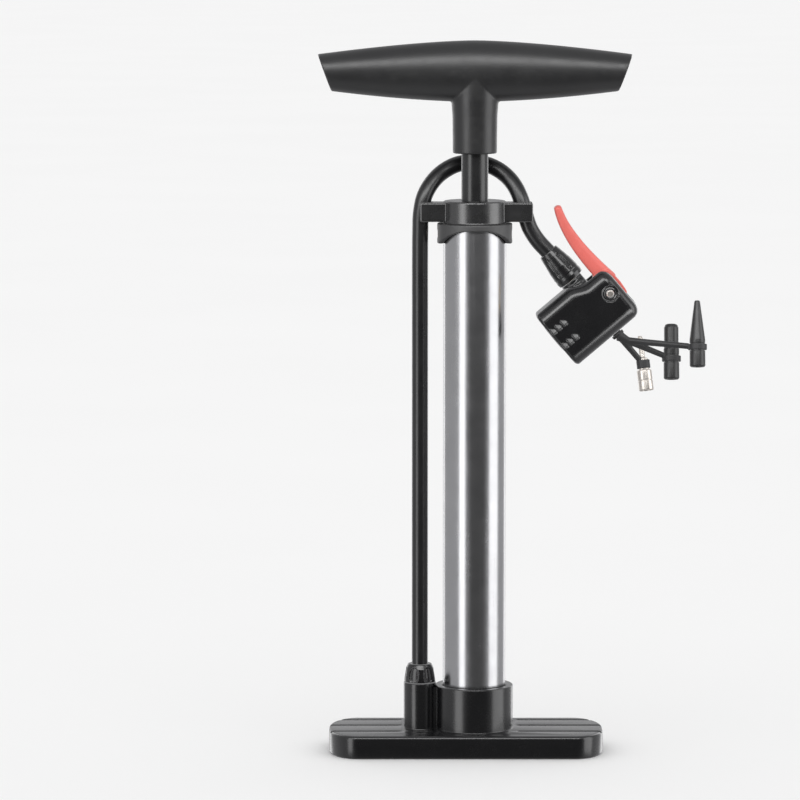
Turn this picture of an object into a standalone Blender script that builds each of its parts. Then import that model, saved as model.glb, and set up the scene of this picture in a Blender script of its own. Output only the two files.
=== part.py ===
"""Hand-operated ball pump with a foot base, an aluminium barrel, a T handle and a hose with a lever head.

Metres, +Z up. The origin is on the barrel's axis, in the plane that the foot base stands on.
The pump stands at rest: plunger down, lever along the hose, adapters in their holder.
"""

import bmesh
import bpy
from math import atan2, cos, pi, radians, sin, sqrt
from mathutils import Matrix, Vector
from mathutils.geometry import interpolate_bezier

MM = 0.001
GAP = 0.3 * MM

# Foot base.
BASE_CENTRE_X = -4.15 * MM
BASE_HALF_X = 70.3 * MM
BASE_HALF_Y = 28 * MM
BASE_HEIGHT = 11.8 * MM
POCKET_DEPTH = 8 * MM
GROOVE_DEPTH = 1 * MM
GROOVE_HALF = 1.6 * MM
CORNER_X = 15 * MM
CORNER_Y = 23 * MM
CUP_RADIUS = 20 * MM
CUP_TOP = 34.2 * MM
CUP_FLOOR = 12 * MM
BOSS_X = -27.8 * MM
BOSS_RADIUS = 8.3 * MM
BOSS_TOP = 35.4 * MM
COVER_LOW_X = -40 * MM
COVER_HIGH_X = 14 * MM
COVER_HALF_Y = 9 * MM
COVER_THICKNESS = 2 * MM
GASKET_LOW = 2.3 * MM
GASKET_HIGH = 3 * MM
RECESS_TOP = 3.3 * MM
VALVE_SHELF = 9.1 * MM
SCREW_X = (-37 * MM, 11 * MM)
SCREW_Y = (-6 * MM, 6 * MM)
CUP_ROOT = 5 * MM
CHANNEL_LOW = 2 * MM
CHANNEL_HIGH = 6.5 * MM
TAIL_BORE = 4.6 * MM

# Barrel and top cap.
BARREL_RADIUS = 16 * MM
BARREL_BORE = 14.75 * MM
BARREL_LOW = 13.7 * MM
BARREL_HIGH = 270.2 * MM
SKIRT_RADIUS = 19.1 * MM
SKIRT_LOW = 261.4 * MM
SKIRT_HIGH = 271.6 * MM
CAP_TOP = 283 * MM
CAP_PLUG_LOW = 262 * MM
EAR_LOW = 272.4 * MM
EAR_HIGH = 282.2 * MM
EAR_HALF_Y = 6.4 * MM
PRONG_SCREW_Z = 266 * MM
SCREW_WAY = 1.4 * MM
ARCH_INNER = 15.4 * MM
ARCH_OUTER = 24 * MM
ARCH_LEVELS = ((254, 75), (261.4, 75), (262.8, 66), (264.4, 56), (266, 45), (267.4, 32), (268.4, 18))

# Plunger.
ROD_RADIUS = 6.8 * MM
STUD_RADIUS = 2.5 * MM
STUD_LOW = 12.4 * MM
PISTON_LOW = 23.4 * MM
PISTON_HIGH = 35 * MM
BUMPER_HIGH = 41 * MM
ROD_HIGH = 343 * MM
STEM_RADIUS = 11.2 * MM
STEM_LOW = 307 * MM
STEM_FLARE = 334 * MM
BAR_HALF_X = 76.2 * MM
BAR_HALF_Y = 12.2 * MM
BAR_TOP = 364.2 * MM
BAR_BOTTOM = 333 * MM
BAR_TOP_DROP = 7 * MM
BAR_BOTTOM_RISE = 5.5 * MM
BAR_DEPTH_DROP = 2.6 * MM
BAR_POWER = 1.6
END_SLANT = 0.37
BAR_WALL = 2.8 * MM
HANDLE_SCREW_Z = 322 * MM

# Hose: the points that it is led through, from the base to the pump head.
HOSE_DIAMETER = 8.2 * MM
HOSE_BORE = 4.5 * MM
HOSE_ROUTE = (
    (-27.8, 0, 30.3),
    (-27.8, 0, 63.6),
    (-27.8, 0, 96.9),
    (-27.8, 0, 130.2),
    (-27.8, 0, 163.4),
    (-27.8, 0, 196.7),
    (-27.8, 0, 230),
    (-27.8, 0, 254.5),
    (-27.7, 0, 267.5),
    (-27.4, 0.2, 276.3),
    (-25.6, 1.4, 285),
    (-21.5, 4.4, 292.1),
    (-15.7, 8.2, 297.4),
    (-8.6, 10.8, 300.8),
    (-0.8, 11.6, 301.7),
    (7, 10.8, 300.4),
    (14.2, 8.3, 296.7),
    (19.8, 4.5, 291),
    (23.4, 1.4, 283.8),
    (25.6, 0.2, 276.1),
    (28.1, 0, 268.8),
    (32, 0, 262.7),
    (37.1, 0, 257.1),
    (43, 0, 250.1),
    (48.9, 0, 243.1),
)

# Pump head, in its own frame: the origin on the lever's pin, +X away from the valve end, Z across.
PIN_PLACE = Vector((68.6, 0, 236.4)) * MM
HEAD_TILT = radians(-40.3)
HEAD_HALF_Y = 11.5 * MM
HEAD_BOTTOM = -17.8 * MM
HEAD_TOP = 15.8 * MM
HEAD_REAR_TOP = 12.3 * MM
SLOT_HALF_Y = 6.5 * MM
CHAMBER_RADIUS = 7 * MM
CHAMBER_END = -10.9 * MM
COLLAR_SEAT = -31.3 * MM
PIN_RADIUS = 1.7 * MM
NECK_X = -10.6 * MM
NECK_TOP = 17.3 * MM
NECK_RADIUS = 6.5 * MM
CAM_RADIUS = 6 * MM
CAM_LIFT = 2 * MM
LEVER_HALF_Y = 6.2 * MM
LEVER_TIP = Vector((42.2, 0, 279.1)) * MM
LEVER_BEND = Vector((46.5, 0, 263.3)) * MM
LEVER_ROOT = Vector((68.6, 0, 242.4)) * MM

# Adapters: where each one's ring is, and how far its top leans back and sideways.
RING_HALF = 1.5 * MM
NEEDLE_RING_HALF = 2.2 * MM
RING_WALL = 0.85 * MM
ADAPTER_RADIUS = 4 * MM
ADAPTERS = {
    "cone_nozzle": (Vector((113.6, -1, 208.3)) * MM, radians(12), 0),
    "valve_adapter": (Vector((100.8, 6, 201.6)) * MM, radians(12), 0),
    "ball_needle": (Vector((86.4, 5.2, 198.8)) * MM, radians(10), radians(-7)),
}
NEEDLE_NECK_RADIUS = 2.6 * MM
ARM_RADIUS = 1.6 * MM
ARM_ROOT = Vector((71.6, 0, 213.8)) * MM
ARM_FORK = Vector((78, 0.6, 211.4)) * MM
PLUG_X = -10.7 * MM

FINE = 32
ROUND = 20
SMALL = 14
TINY = 10


def clear_scene():
    for obj in list(bpy.data.objects):
        bpy.data.objects.remove(obj, do_unlink=True)


def material(name, colour, roughness, metallic=0.0):
    made = bpy.data.materials.new(name)
    made.use_nodes = True
    shader = made.node_tree.nodes["Principled BSDF"]
    shader.inputs["Base Color"].default_value = (*colour, 1)
    shader.inputs["Roughness"].default_value = roughness
    shader.inputs["Metallic"].default_value = metallic
    made.diffuse_color = (*colour, 1)
    return made


def empty(name, place, rotation=(0, 0, 0)):
    made = bpy.data.objects.new(name, None)
    bpy.context.scene.collection.objects.link(made)
    made.location = place
    made.rotation_euler = rotation
    return made


def new_object(name, points, faces, parent=None):
    """A closed mesh object with its faces turned outwards."""
    mesh = bpy.data.meshes.new(name)
    mesh.from_pydata([tuple(p) for p in points], [], faces)
    shape = bmesh.new()
    shape.from_mesh(mesh)
    bmesh.ops.recalc_face_normals(shape, faces=shape.faces)
    shape.to_mesh(mesh)
    shape.free()
    mesh.shade_smooth()
    mesh.set_sharp_from_angle(angle=radians(35))
    made = bpy.data.objects.new(name, mesh)
    bpy.context.scene.collection.objects.link(made)
    made.parent = parent
    return made


def loft(name, rings, parent=None):
    """A solid skinned over rings of equally many points, with flat ends."""
    count = len(rings[0])
    points = [point for ring in rings for point in ring]
    faces = [list(range(count)), list(range(len(points) - count, len(points)))]
    for level in range(len(rings) - 1):
        start = level * count
        for i in range(count):
            j = (i + 1) % count
            faces.append((start + i, start + j, start + count + j, start + count + i))
    return new_object(name, points, faces, parent)


def lathe(name, profile, sides, parent=None):
    """A profile of (radius, height) turned about Z: a solid if its ends are on the axis, else a ring."""
    solid = profile[0][0] == 0
    points = []
    rows = []
    for radius, height in profile:
        if radius > 0:
            rows.append([len(points) + i for i in range(sides)])
            for i in range(sides):
                angle = 2 * pi * i / sides
                points.append((radius * cos(angle), radius * sin(angle), height))
        else:
            rows.append([len(points)] * sides)
            points.append((0, 0, height))
    faces = []
    pairs = list(zip(rows, rows[1:])) if solid else list(zip(rows, rows[1:] + rows[:1]))
    if solid and profile[0][1] == profile[1][1]:
        faces.append(rows[1])
        pairs = pairs[1:]
    if solid and profile[-1][1] == profile[-2][1]:
        faces.append(rows[-2])
        pairs = pairs[:-1]
    for low, high in pairs:
        for i in range(sides):
            j = (i + 1) % sides
            faces.append(list(dict.fromkeys((low[i], low[j], high[j], high[i]))))
    used = sorted({index for face in faces for index in face})
    place = {index: order for order, index in enumerate(used)}
    faces = [[place[index] for index in face] for face in faces]
    return new_object(name, [points[index] for index in used], faces, parent)


def drum(name, radius, low, high, sides, parent=None):
    return lathe(name, [(0, low), (radius, low), (radius, high), (0, high)], sides, parent)


def block(name, low, high, parent=None):
    ring = [(low[0], low[1]), (high[0], low[1]), (high[0], high[1]), (low[0], high[1])]
    return loft(name, [[(x, y, z) for x, y in ring] for z in (low[2], high[2])], parent)


def plate(name, outline, low, high, parent=None):
    """An outline of (x, z) points carried along Y."""
    return loft(name, [[(x, y, z) for x, z in outline] for y in (low, high)], parent)


def helper(tool):
    tool.hide_render = True
    tool.display_type = "WIRE"
    return tool


def combine(target, tool, operation):
    change = target.modifiers.new(tool.name, "BOOLEAN")
    change.operation = operation
    change.solver = "EXACT"
    change.object = helper(tool)


def cut(target, *tools):
    for tool in tools:
        combine(target, tool, "DIFFERENCE")


def join(target, *tools):
    for tool in tools:
        combine(target, tool, "UNION")


def along_x(tool, place=(0, 0, 0)):
    """Turns a shape made about Z so that its axis is X."""
    tool.rotation_euler = (0, pi / 2, 0)
    tool.location = place
    return tool


def along_y(tool, place=(0, 0, 0)):
    """Turns a shape made about Z so that its axis is Y."""
    tool.rotation_euler = (-pi / 2, 0, 0)
    tool.location = place
    return tool


def paint(finish, *objects):
    for obj in objects:
        obj.data.materials.clear()
        obj.data.materials.append(finish)


def rod_between(name, start, end, radius_start, radius_end, sides, parent=None):
    """A round bar between two points."""
    way = end - start
    turn = way.to_track_quat("Z", "Y").to_matrix()
    rings = []
    for centre, radius in ((start, radius_start), (end, radius_end)):
        ring = []
        for i in range(sides):
            angle = 2 * pi * i / sides
            ring.append(centre + turn @ Vector((radius * cos(angle), radius * sin(angle), 0)))
        rings.append(ring)
    return loft(name, rings, parent)


def rounded_outline(half_x, half_y, corner_x, corner_y, steps, centre=(0, 0)):
    """A rectangle with elliptical corners, as (x, y) points."""
    points = []
    for quarter, (side_x, side_y) in enumerate(((1, 1), (-1, 1), (-1, -1), (1, -1))):
        for step in range(steps + 1):
            angle = pi / 2 * (quarter + step / steps)
            x = side_x * (half_x - corner_x) + corner_x * cos(angle)
            y = side_y * (half_y - corner_y) + corner_y * sin(angle)
            points.append((centre[0] + x, centre[1] + y))
    return points


def screw(name, place, head_radius, head_height, shank_radius, length, parent=None):
    """A pan head screw standing on its head: the head is lowest and the shank points up."""
    socket = 0.45 * head_radius
    profile = [
        (0, 0.5 * head_height),
        (socket, 0.5 * head_height),
        (socket, 0),
        (0.75 * head_radius, 0),
        (head_radius, 0.35 * head_height),
        (head_radius, head_height),
        (shank_radius, head_height),
        (shank_radius, length - shank_radius),
        (0, length),
    ]
    made = lathe(name, profile, TINY, parent)
    made.location = place
    return made


# ---------------------------------------------------------------- foot base


def base_outline(inset):
    return rounded_outline(
        BASE_HALF_X - inset, BASE_HALF_Y - inset, CORNER_X - inset, CORNER_Y - inset, 7, (BASE_CENTRE_X, 0)
    )


def foot_base():
    levels = ((0, 0.5 * MM), (0.6 * MM, 0), (BASE_HEIGHT - 1.2 * MM, 0), (BASE_HEIGHT - 0.4 * MM, 0.4 * MM))
    levels += ((BASE_HEIGHT, 1.3 * MM),)
    base = loft("foot_base", [[(x, y, z) for x, y in base_outline(inset)] for z, inset in levels])
    low = CUP_ROOT
    cup_profile = [(0, low), (CUP_RADIUS, low), (CUP_RADIUS, CUP_TOP - 0.6 * MM)]
    cup_profile += [(CUP_RADIUS - 0.6 * MM, CUP_TOP), (0, CUP_TOP)]
    cup = lathe("cup_wall", cup_profile, FINE)
    boss = drum("hose_boss", BOSS_RADIUS, low, BOSS_TOP, ROUND)
    boss.location.x = BOSS_X
    web = block("boss_web", (BOSS_X, -4.5 * MM, low), (-17 * MM, 4.5 * MM, CUP_TOP - 1 * MM))
    join(base, cup, boss, web)
    cut(base, drum("barrel_socket", BARREL_RADIUS + GAP, CUP_FLOOR, CUP_TOP + low, FINE))
    cut(base, drum("valve_shelf_bore", 6.3 * MM, VALVE_SHELF, CUP_FLOOR + low, ROUND))
    cut(base, drum("valve_bore", 3.6 * MM, 2 * MM, VALVE_SHELF + MM, SMALL))
    recess_low = (COVER_LOW_X - GAP, -COVER_HALF_Y - GAP, -low)
    recess_high = (COVER_HIGH_X + GAP, COVER_HALF_Y + GAP, RECESS_TOP)
    cut(base, block("cover_recess", recess_low, recess_high))
    cut(base, block("air_channel", (BOSS_X - 2 * MM, -2.2 * MM, CHANNEL_LOW), (0, 2.2 * MM, CHANNEL_HIGH)))
    tail_bores = ((1.6 * MM, 5.5 * MM, 24 * MM), (TAIL_BORE, 22 * MM, 32 * MM), (5.8 * MM, 30 * MM, 40 * MM))
    for number, (radius, bottom, top) in enumerate(tail_bores):
        bore = drum(f"tail_bore_{number}", radius, bottom, top, SMALL)
        bore.location.x = BOSS_X
        cut(base, bore)
    for i, x in enumerate(SCREW_X):
        for j, y in enumerate(SCREW_Y):
            hole = drum(f"cover_screw_hole_{i}{j}", 1.5 * MM, 2 * MM, 8.7 * MM, TINY)
            hole.location = (x, y, 0)
            cut(base, hole)
    cut_base_pockets(base)
    cut_base_grooves(base)
    return base


def cut_base_pockets(base):
    """Hollows under the plate, between its ribs."""
    spans = (("left", -67 * MM, -44 * MM, 2 * MM, 20 * MM), ("right", 19 * MM, 58 * MM, 2 * MM, 20 * MM))
    spans += (("middle", -40 * MM, 15 * MM, 12.5 * MM, 24 * MM),)
    for name, low_x, high_x, low_y, high_y in spans:
        for side in (-1, 1):
            ys = sorted((side * low_y, side * high_y))
            tool = block(f"pocket_{name}_{side}", (low_x, ys[0], -5 * MM), (high_x, ys[1], POCKET_DEPTH))
            cut(base, tool)


def cut_base_grooves(base):
    """Three grip grooves on each side of the plate's top, running out through its ends."""
    far = 90 * MM
    for number, y in enumerate((-12 * MM, 5 * MM, 21 * MM)):
        for side, inner in (("left", -37 * MM), ("right", 22 * MM)):
            xs = sorted((inner, far if inner > 0 else -far))
            low = (xs[0], y - GROOVE_HALF, BASE_HEIGHT - GROOVE_DEPTH)
            high = (xs[1], y + GROOVE_HALF, BASE_HEIGHT + 5 * MM)
            cut(base, block(f"groove_{side}_{number}", low, high))


def channel_cover():
    low = (COVER_LOW_X, -COVER_HALF_Y, 0)
    high = (COVER_HIGH_X, COVER_HALF_Y, COVER_THICKNESS)
    cover = block("channel_cover", low, high)
    for i, x in enumerate(SCREW_X):
        for j, y in enumerate(SCREW_Y):
            profile = [(0, -MM), (2.6 * MM, -MM), (2.6 * MM, 1.3 * MM), (1.5 * MM, 1.3 * MM)]
            profile += [(1.5 * MM, 4 * MM), (0, 4 * MM)]
            hole = lathe(f"cover_hole_{i}{j}", profile, TINY)
            hole.location = (x, y, 0)
            cut(cover, hole)
    return cover


def channel_gasket():
    """A flat ring that lies between the cover and the base, round the air channel and the check valve."""
    gasket = block("channel_gasket", (-33.5 * MM, -7.5 * MM, GASKET_LOW), (7.5 * MM, 7.5 * MM, GASKET_HIGH))
    cut(gasket, block("gasket_opening", (-31.2 * MM, -4.6 * MM, 0), (5.2 * MM, 4.6 * MM, 5 * MM)))
    return gasket


def check_valve(parent):
    seat = lathe(
        "check_valve_seat",
        [
            (2.1 * MM, VALVE_SHELF + GAP),
            (6 * MM, VALVE_SHELF + GAP),
            (6 * MM, CUP_FLOOR - 0.2 * MM),
            (1.4 * MM, CUP_FLOOR - 0.2 * MM),
            (1.4 * MM, VALVE_SHELF + 1.1 * MM),
        ],
        ROUND,
    )
    radius = 2.3 * MM
    turns = 8
    profile = [(radius * sin(pi * i / turns), -radius * cos(pi * i / turns)) for i in range(turns + 1)]
    profile[0] = (0, -radius)
    profile[-1] = (0, radius)
    ball = lathe("check_valve_ball", profile, TINY, parent)
    spring = bpy.data.curves.new("check_valve_spring", "CURVE")
    spring.dimensions = "3D"
    spring.bevel_depth = 0.28 * MM
    spring.bevel_resolution = 1
    spring.use_fill_caps = True
    coils = 2.5
    steps = 30
    bottom = GASKET_LOW + 0.3 * MM
    height = 1.9 * MM
    line = spring.splines.new("POLY")
    line.points.add(steps)
    for i in range(steps + 1):
        angle = 2 * pi * coils * i / steps
        line.points[i].co = (1.7 * MM * cos(angle), 1.7 * MM * sin(angle), bottom + height * i / steps, 1)
    coil = bpy.data.objects.new("check_valve_spring", spring)
    bpy.context.scene.collection.objects.link(coil)
    return seat, ball, coil


def hose_tail(name, low, high, parent=None):
    """A brass tail that the hose is pushed on, with a collar at its foot."""
    profile = [(1.4 * MM, low), (4 * MM, low), (4 * MM, low + 2.5 * MM), (3.3 * MM, low + 3 * MM)]
    profile += [(3.3 * MM, high - 3 * MM), (4 * MM, high - 2.5 * MM), (3.4 * MM, high), (1.4 * MM, high)]
    return lathe(name, profile, SMALL, parent)


def hose_nut(name, profile, parent=None):
    """A tapered nut with ten flutes round the hose."""
    nut = lathe(name, profile, 20, parent)
    for point in nut.data.vertices:
        angle = atan2(point.co.y, point.co.x)
        step = round(angle / (2 * pi / 20))
        radius = sqrt(point.co.x**2 + point.co.y**2)
        if step % 2 and radius > 4.8 * MM:
            point.co.x *= 0.93
            point.co.y *= 0.93
    return nut


# ---------------------------------------------------------------- barrel and top cap


def tube(name, inner, outer, low, high, sides, parent=None):
    return lathe(name, [(inner, low), (outer, low), (outer, high), (inner, high)], sides, parent)


def top_cap():
    bore = 8.8 * MM
    lip = ROD_RADIUS + 0.4 * MM
    plug = 14.4 * MM
    skirt_bore = BARREL_RADIUS + GAP
    roof = BARREL_HIGH + GAP
    edge = 0.6 * MM
    profile = [(bore, CAP_PLUG_LOW), (plug, CAP_PLUG_LOW), (plug, roof), (skirt_bore, roof)]
    profile += [(skirt_bore, SKIRT_LOW), (SKIRT_RADIUS, SKIRT_LOW)]
    profile += [(SKIRT_RADIUS, SKIRT_HIGH - edge), (SKIRT_RADIUS - edge, SKIRT_HIGH)]
    profile += [(BARREL_RADIUS, SKIRT_HIGH), (BARREL_RADIUS, CAP_TOP - MM), (BARREL_RADIUS - MM, CAP_TOP)]
    profile += [(lip, CAP_TOP), (lip, CAP_TOP - 1.6 * MM), (bore, CAP_TOP - 1.6 * MM)]
    cap = lathe("top_cap", profile, FINE)
    left = block("ear_left", (BOSS_X, -EAR_HALF_Y, EAR_LOW), (-14 * MM, EAR_HALF_Y, EAR_HIGH))
    right = block("ear_right", (14 * MM, -EAR_HALF_Y, EAR_LOW), (29.5 * MM, EAR_HALF_Y, EAR_HIGH))
    join(cap, left, right)
    cut(cap, arch_cutter(-1), arch_cutter(1))
    clip = HOSE_DIAMETER / 2 + 1.1 * MM
    left_low = Vector((BOSS_X, 0, EAR_LOW - 5 * MM))
    left_high = Vector((BOSS_X + 2 * MM, 1.6 * MM, EAR_HIGH + 4 * MM))
    left_way = rod_between("clip_left", left_low, left_high, clip, clip + 0.6 * MM, ROUND)
    right_low = Vector((28.4, 0, 268)) * MM
    right_high = Vector((22.9, 0.6, 286)) * MM
    right_way = rod_between("clip_right", right_low, right_high, clip, clip + 0.5 * MM, ROUND)
    outside = 45 * MM
    outline = [(right_low.x, right_low.z), (outside, right_low.z)]
    outline += [(outside, right_high.z), (right_high.x, right_high.z)]
    mouth = plate("clip_mouth", outline, -clip, clip)
    cut(cap, left_way, right_way, mouth)
    for side in (-1, 1):
        for kind, radius, start in (("hole", SCREW_WAY, 15 * MM), ("seat", 2.5 * MM, 17.9 * MM)):
            tool = drum(f"prong_{kind}_{side}", radius, 0, 10 * MM, TINY)
            tool.rotation_euler.y = side * pi / 2
            tool.location = (side * start, 0, PRONG_SCREW_Z)
            cut(cap, tool)
    return cap


def arch_cutter(side):
    """The opening in the skirt's front or back: its cheeks are radial and lean together into a crown."""
    rings = []
    for height, half in ARCH_LEVELS:
        angles = [radians(90 * side + half * (step / 5 - 1)) for step in range(11)]
        ring = [(ARCH_OUTER * cos(a), ARCH_OUTER * sin(a), height * MM) for a in angles]
        ring += [(ARCH_INNER * cos(a), ARCH_INNER * sin(a), height * MM) for a in reversed(angles)]
        rings.append(ring)
    return loft(f"skirt_arch_{side}", rings)


def cap_screws():
    """One screw through each prong, stopping short of the plunger's way."""
    made = []
    for name, side in (("left", -1), ("right", 1)):
        place = (18.9 * side * MM, 0, PRONG_SCREW_Z)
        one = screw(f"cap_screw_{name}", place, 2.1 * MM, 0.9 * MM, 1.1 * MM, 3.2 * MM)
        one.rotation_euler.y = -side * pi / 2
        made.append(one)
    return made


def barrel():
    body = tube("barrel", BARREL_BORE, BARREL_RADIUS, BARREL_LOW, BARREL_HIGH, FINE)
    for side in (-1, 1):
        hole = along_x(drum(f"barrel_hole_{side}", SCREW_WAY, -3 * MM, 3 * MM, TINY))
        hole.location = (side * BARREL_RADIUS, 0, PRONG_SCREW_Z)
        cut(body, hole)
    return body


# ---------------------------------------------------------------- plunger


def piston_parts(parent):
    bore = STUD_RADIUS + GAP
    body = lathe(
        "piston_body",
        [
            (bore, PISTON_LOW),
            (14 * MM, PISTON_LOW),
            (14 * MM, PISTON_LOW + 3 * MM),
            (11 * MM, PISTON_LOW + 3.5 * MM),
            (11 * MM, PISTON_HIGH - 3.5 * MM),
            (14 * MM, PISTON_HIGH - 3 * MM),
            (14 * MM, PISTON_HIGH),
            (bore, PISTON_HIGH),
        ],
        ROUND,
        parent,
    )
    disc_low = 20.8 * MM
    disc_high = PISTON_LOW - GAP
    rim = BARREL_BORE - GAP
    cup = lathe(
        "cup_seal",
        [
            (bore, disc_low),
            (12.4 * MM, disc_low),
            (13.2 * MM, 14.1 * MM),
            (rim, 14.1 * MM),
            (rim - 0.4 * MM, disc_high - MM),
            (rim - 1.2 * MM, disc_high),
            (bore, disc_high),
        ],
        ROUND,
        parent,
    )
    bumper = tube("stop_bumper", ROD_RADIUS + GAP, 11 * MM, PISTON_HIGH + GAP, BUMPER_HIGH, ROUND, parent)
    return body, cup, bumper


def piston_rod(parent):
    rod = lathe(
        "piston_rod",
        [
            (0, STUD_LOW),
            (STUD_RADIUS, STUD_LOW),
            (STUD_RADIUS, PISTON_HIGH + GAP),
            (ROD_RADIUS, PISTON_HIGH + GAP),
            (ROD_RADIUS, ROD_HIGH - MM),
            (ROD_RADIUS - MM, ROD_HIGH),
            (0, ROD_HIGH),
        ],
        ROUND,
        parent,
    )
    cut(rod, along_y(drum("rod_screw_hole", 2 * MM, -3.4 * MM, 12 * MM, TINY), (0, 0, HANDLE_SCREW_Z)))
    return rod


def piston_fasteners(parent):
    bore = STUD_RADIUS + GAP
    washer = tube("piston_washer", bore, 11 * MM, 18.8 * MM, 20.5 * MM, ROUND, parent)
    nut = drum("piston_nut", 5.3 * MM, 14.5 * MM, 18.5 * MM, 6, parent)
    cut(nut, drum("nut_thread", bore, 10 * MM, 25 * MM, TINY, parent))
    return washer, nut


def bar_ring(x, wall=0.0):
    """One section of the handle bar at x, as points round it. The end sections lean outwards at the top."""
    reach = abs(x) / BAR_HALF_X
    top = BAR_TOP - BAR_TOP_DROP * reach**BAR_POWER - wall
    bottom = BAR_BOTTOM + BAR_BOTTOM_RISE * reach**BAR_POWER + wall
    half_y = BAR_HALF_Y - BAR_DEPTH_DROP * reach**BAR_POWER - wall
    middle = (top + bottom) / 2
    half_z = (top - bottom) / 2
    lean = END_SLANT * reach**3 * (1 if x > 0 else -1)
    sides = 20
    ring = []
    for i in range(sides):
        angle = 2 * pi * i / sides
        y = half_y * abs(cos(angle)) ** 0.85 * (1 if cos(angle) >= 0 else -1)
        z = middle + half_z * abs(sin(angle)) ** 0.85 * (1 if sin(angle) >= 0 else -1)
        ring.append((x + lean * (z - middle), y, z))
    return ring


def handle_grip(parent):
    stations = [BAR_HALF_X * i / 8 for i in range(-8, 9)]
    bar = loft("handle_grip", [bar_ring(x) for x in stations], parent)
    stem = lathe(
        "handle_stem",
        [
            (0, STEM_LOW),
            (STEM_RADIUS - 0.4 * MM, STEM_LOW),
            (STEM_RADIUS, STEM_LOW + 0.4 * MM),
            (STEM_RADIUS + 0.3 * MM, STEM_FLARE - 3 * MM),
            (STEM_RADIUS + 1.6 * MM, STEM_FLARE),
            (STEM_RADIUS - 1 * MM, 347 * MM),
            (0, 350 * MM),
        ],
        ROUND,
    )
    join(bar, stem)
    cut(bar, drum("rod_socket", ROD_RADIUS + GAP, STEM_LOW - 5 * MM, ROD_HIGH + GAP, ROUND))
    for side in (-1, 1):
        hollow = [bar_ring(side * x * MM, BAR_WALL) for x in (13, 30, 45, 60, 70)]
        hollow.append(bar_ring(side * (BAR_HALF_X + 12 * MM), BAR_WALL))
        cut(bar, loft(f"bar_hollow_{side}", hollow))
    screw_hole = drum("stem_screw_hole", 2 * MM, 3 * MM, 20 * MM, TINY)
    screw_seat = drum("stem_screw_seat", 3.4 * MM, 9 * MM, 20 * MM, TINY)
    cut(bar, along_y(screw_hole, (0, 0, HANDLE_SCREW_Z)), along_y(screw_seat, (0, 0, HANDLE_SCREW_Z)))
    return bar


def handle_end_plug(name, side, parent):
    """A plug in the open end of the bar, lying just inside its slanted face."""
    stations = (BAR_HALF_X - 8 * MM, BAR_HALF_X - 4 * MM, BAR_HALF_X - 0.4 * MM)
    return loft(name, [bar_ring(side * x, BAR_WALL + 0.35 * MM) for x in stations], parent)


def handle_screw(parent):
    one = screw("handle_screw", (0, 11.7 * MM, HANDLE_SCREW_Z), 3 * MM, 2.3 * MM, 1.6 * MM, 13.5 * MM, parent)
    one.rotation_euler.x = pi / 2
    return one


# ---------------------------------------------------------------- hose


def smooth_route(points, step):
    """Points about step apart on the smooth curve through the given points.

    At each point the curve has the direction of the circle through it and its two neighbours.
    """
    runs = [b - a for a, b in zip(points, points[1:])]
    ways = []
    for last, following in zip([runs[0], *runs], [*runs, runs[-1]]):
        ways.append((last / last.length_squared + following / following.length_squared).normalized())
    fine = []
    for i, run in enumerate(runs):
        reach = run.length / 3
        handles = (points[i] + ways[i] * reach, points[i + 1] - ways[i + 1] * reach)
        fine += interpolate_bezier(points[i], *handles, points[i + 1], 21)[:-1]
    fine.append(points[-1])
    lengths = [0]
    for a, b in zip(fine, fine[1:]):
        lengths.append(lengths[-1] + (b - a).length)
    count = round(lengths[-1] / step)
    route = []
    index = 0
    for k in range(count + 1):
        wanted = lengths[-1] * k / count
        while index < len(lengths) - 2 and lengths[index + 1] < wanted:
            index += 1
        share = (wanted - lengths[index]) / (lengths[index + 1] - lengths[index])
        route.append(fine[index].lerp(fine[index + 1], share))
    return route


def hose():
    route = smooth_route([Vector(p) * MM for p in HOSE_ROUTE], 2 * HOSE_DIAMETER)
    curve = bpy.data.curves.new("hose", "CURVE")
    curve.dimensions = "3D"
    curve.bevel_depth = HOSE_DIAMETER / 2
    curve.bevel_resolution = 2
    curve.use_fill_caps = True
    line = curve.splines.new("POLY")
    line.points.add(len(route) - 1)
    for point, place in zip(line.points, route):
        point.co = (*place, 1)
    made = bpy.data.objects.new("hose", curve)
    bpy.context.scene.collection.objects.link(made)
    return made


# ---------------------------------------------------------------- pump head


def head_section(x, top, inset):
    """A rounded rectangle across the head at x."""
    half_z = (top - HEAD_BOTTOM) / 2 - inset
    half_y = HEAD_HALF_Y - inset
    corner = max(7 * MM - inset, 2 * MM)
    outline = rounded_outline(half_y, half_z, corner, corner, 4, (0, (top + HEAD_BOTTOM) / 2))
    return [(x, y, z) for y, z in outline]


def on_neck(tool):
    """Puts a shape made about Z on the neck's axis, its heights counted from the head's origin."""
    tool.location.x = NECK_X
    return tool


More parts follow.
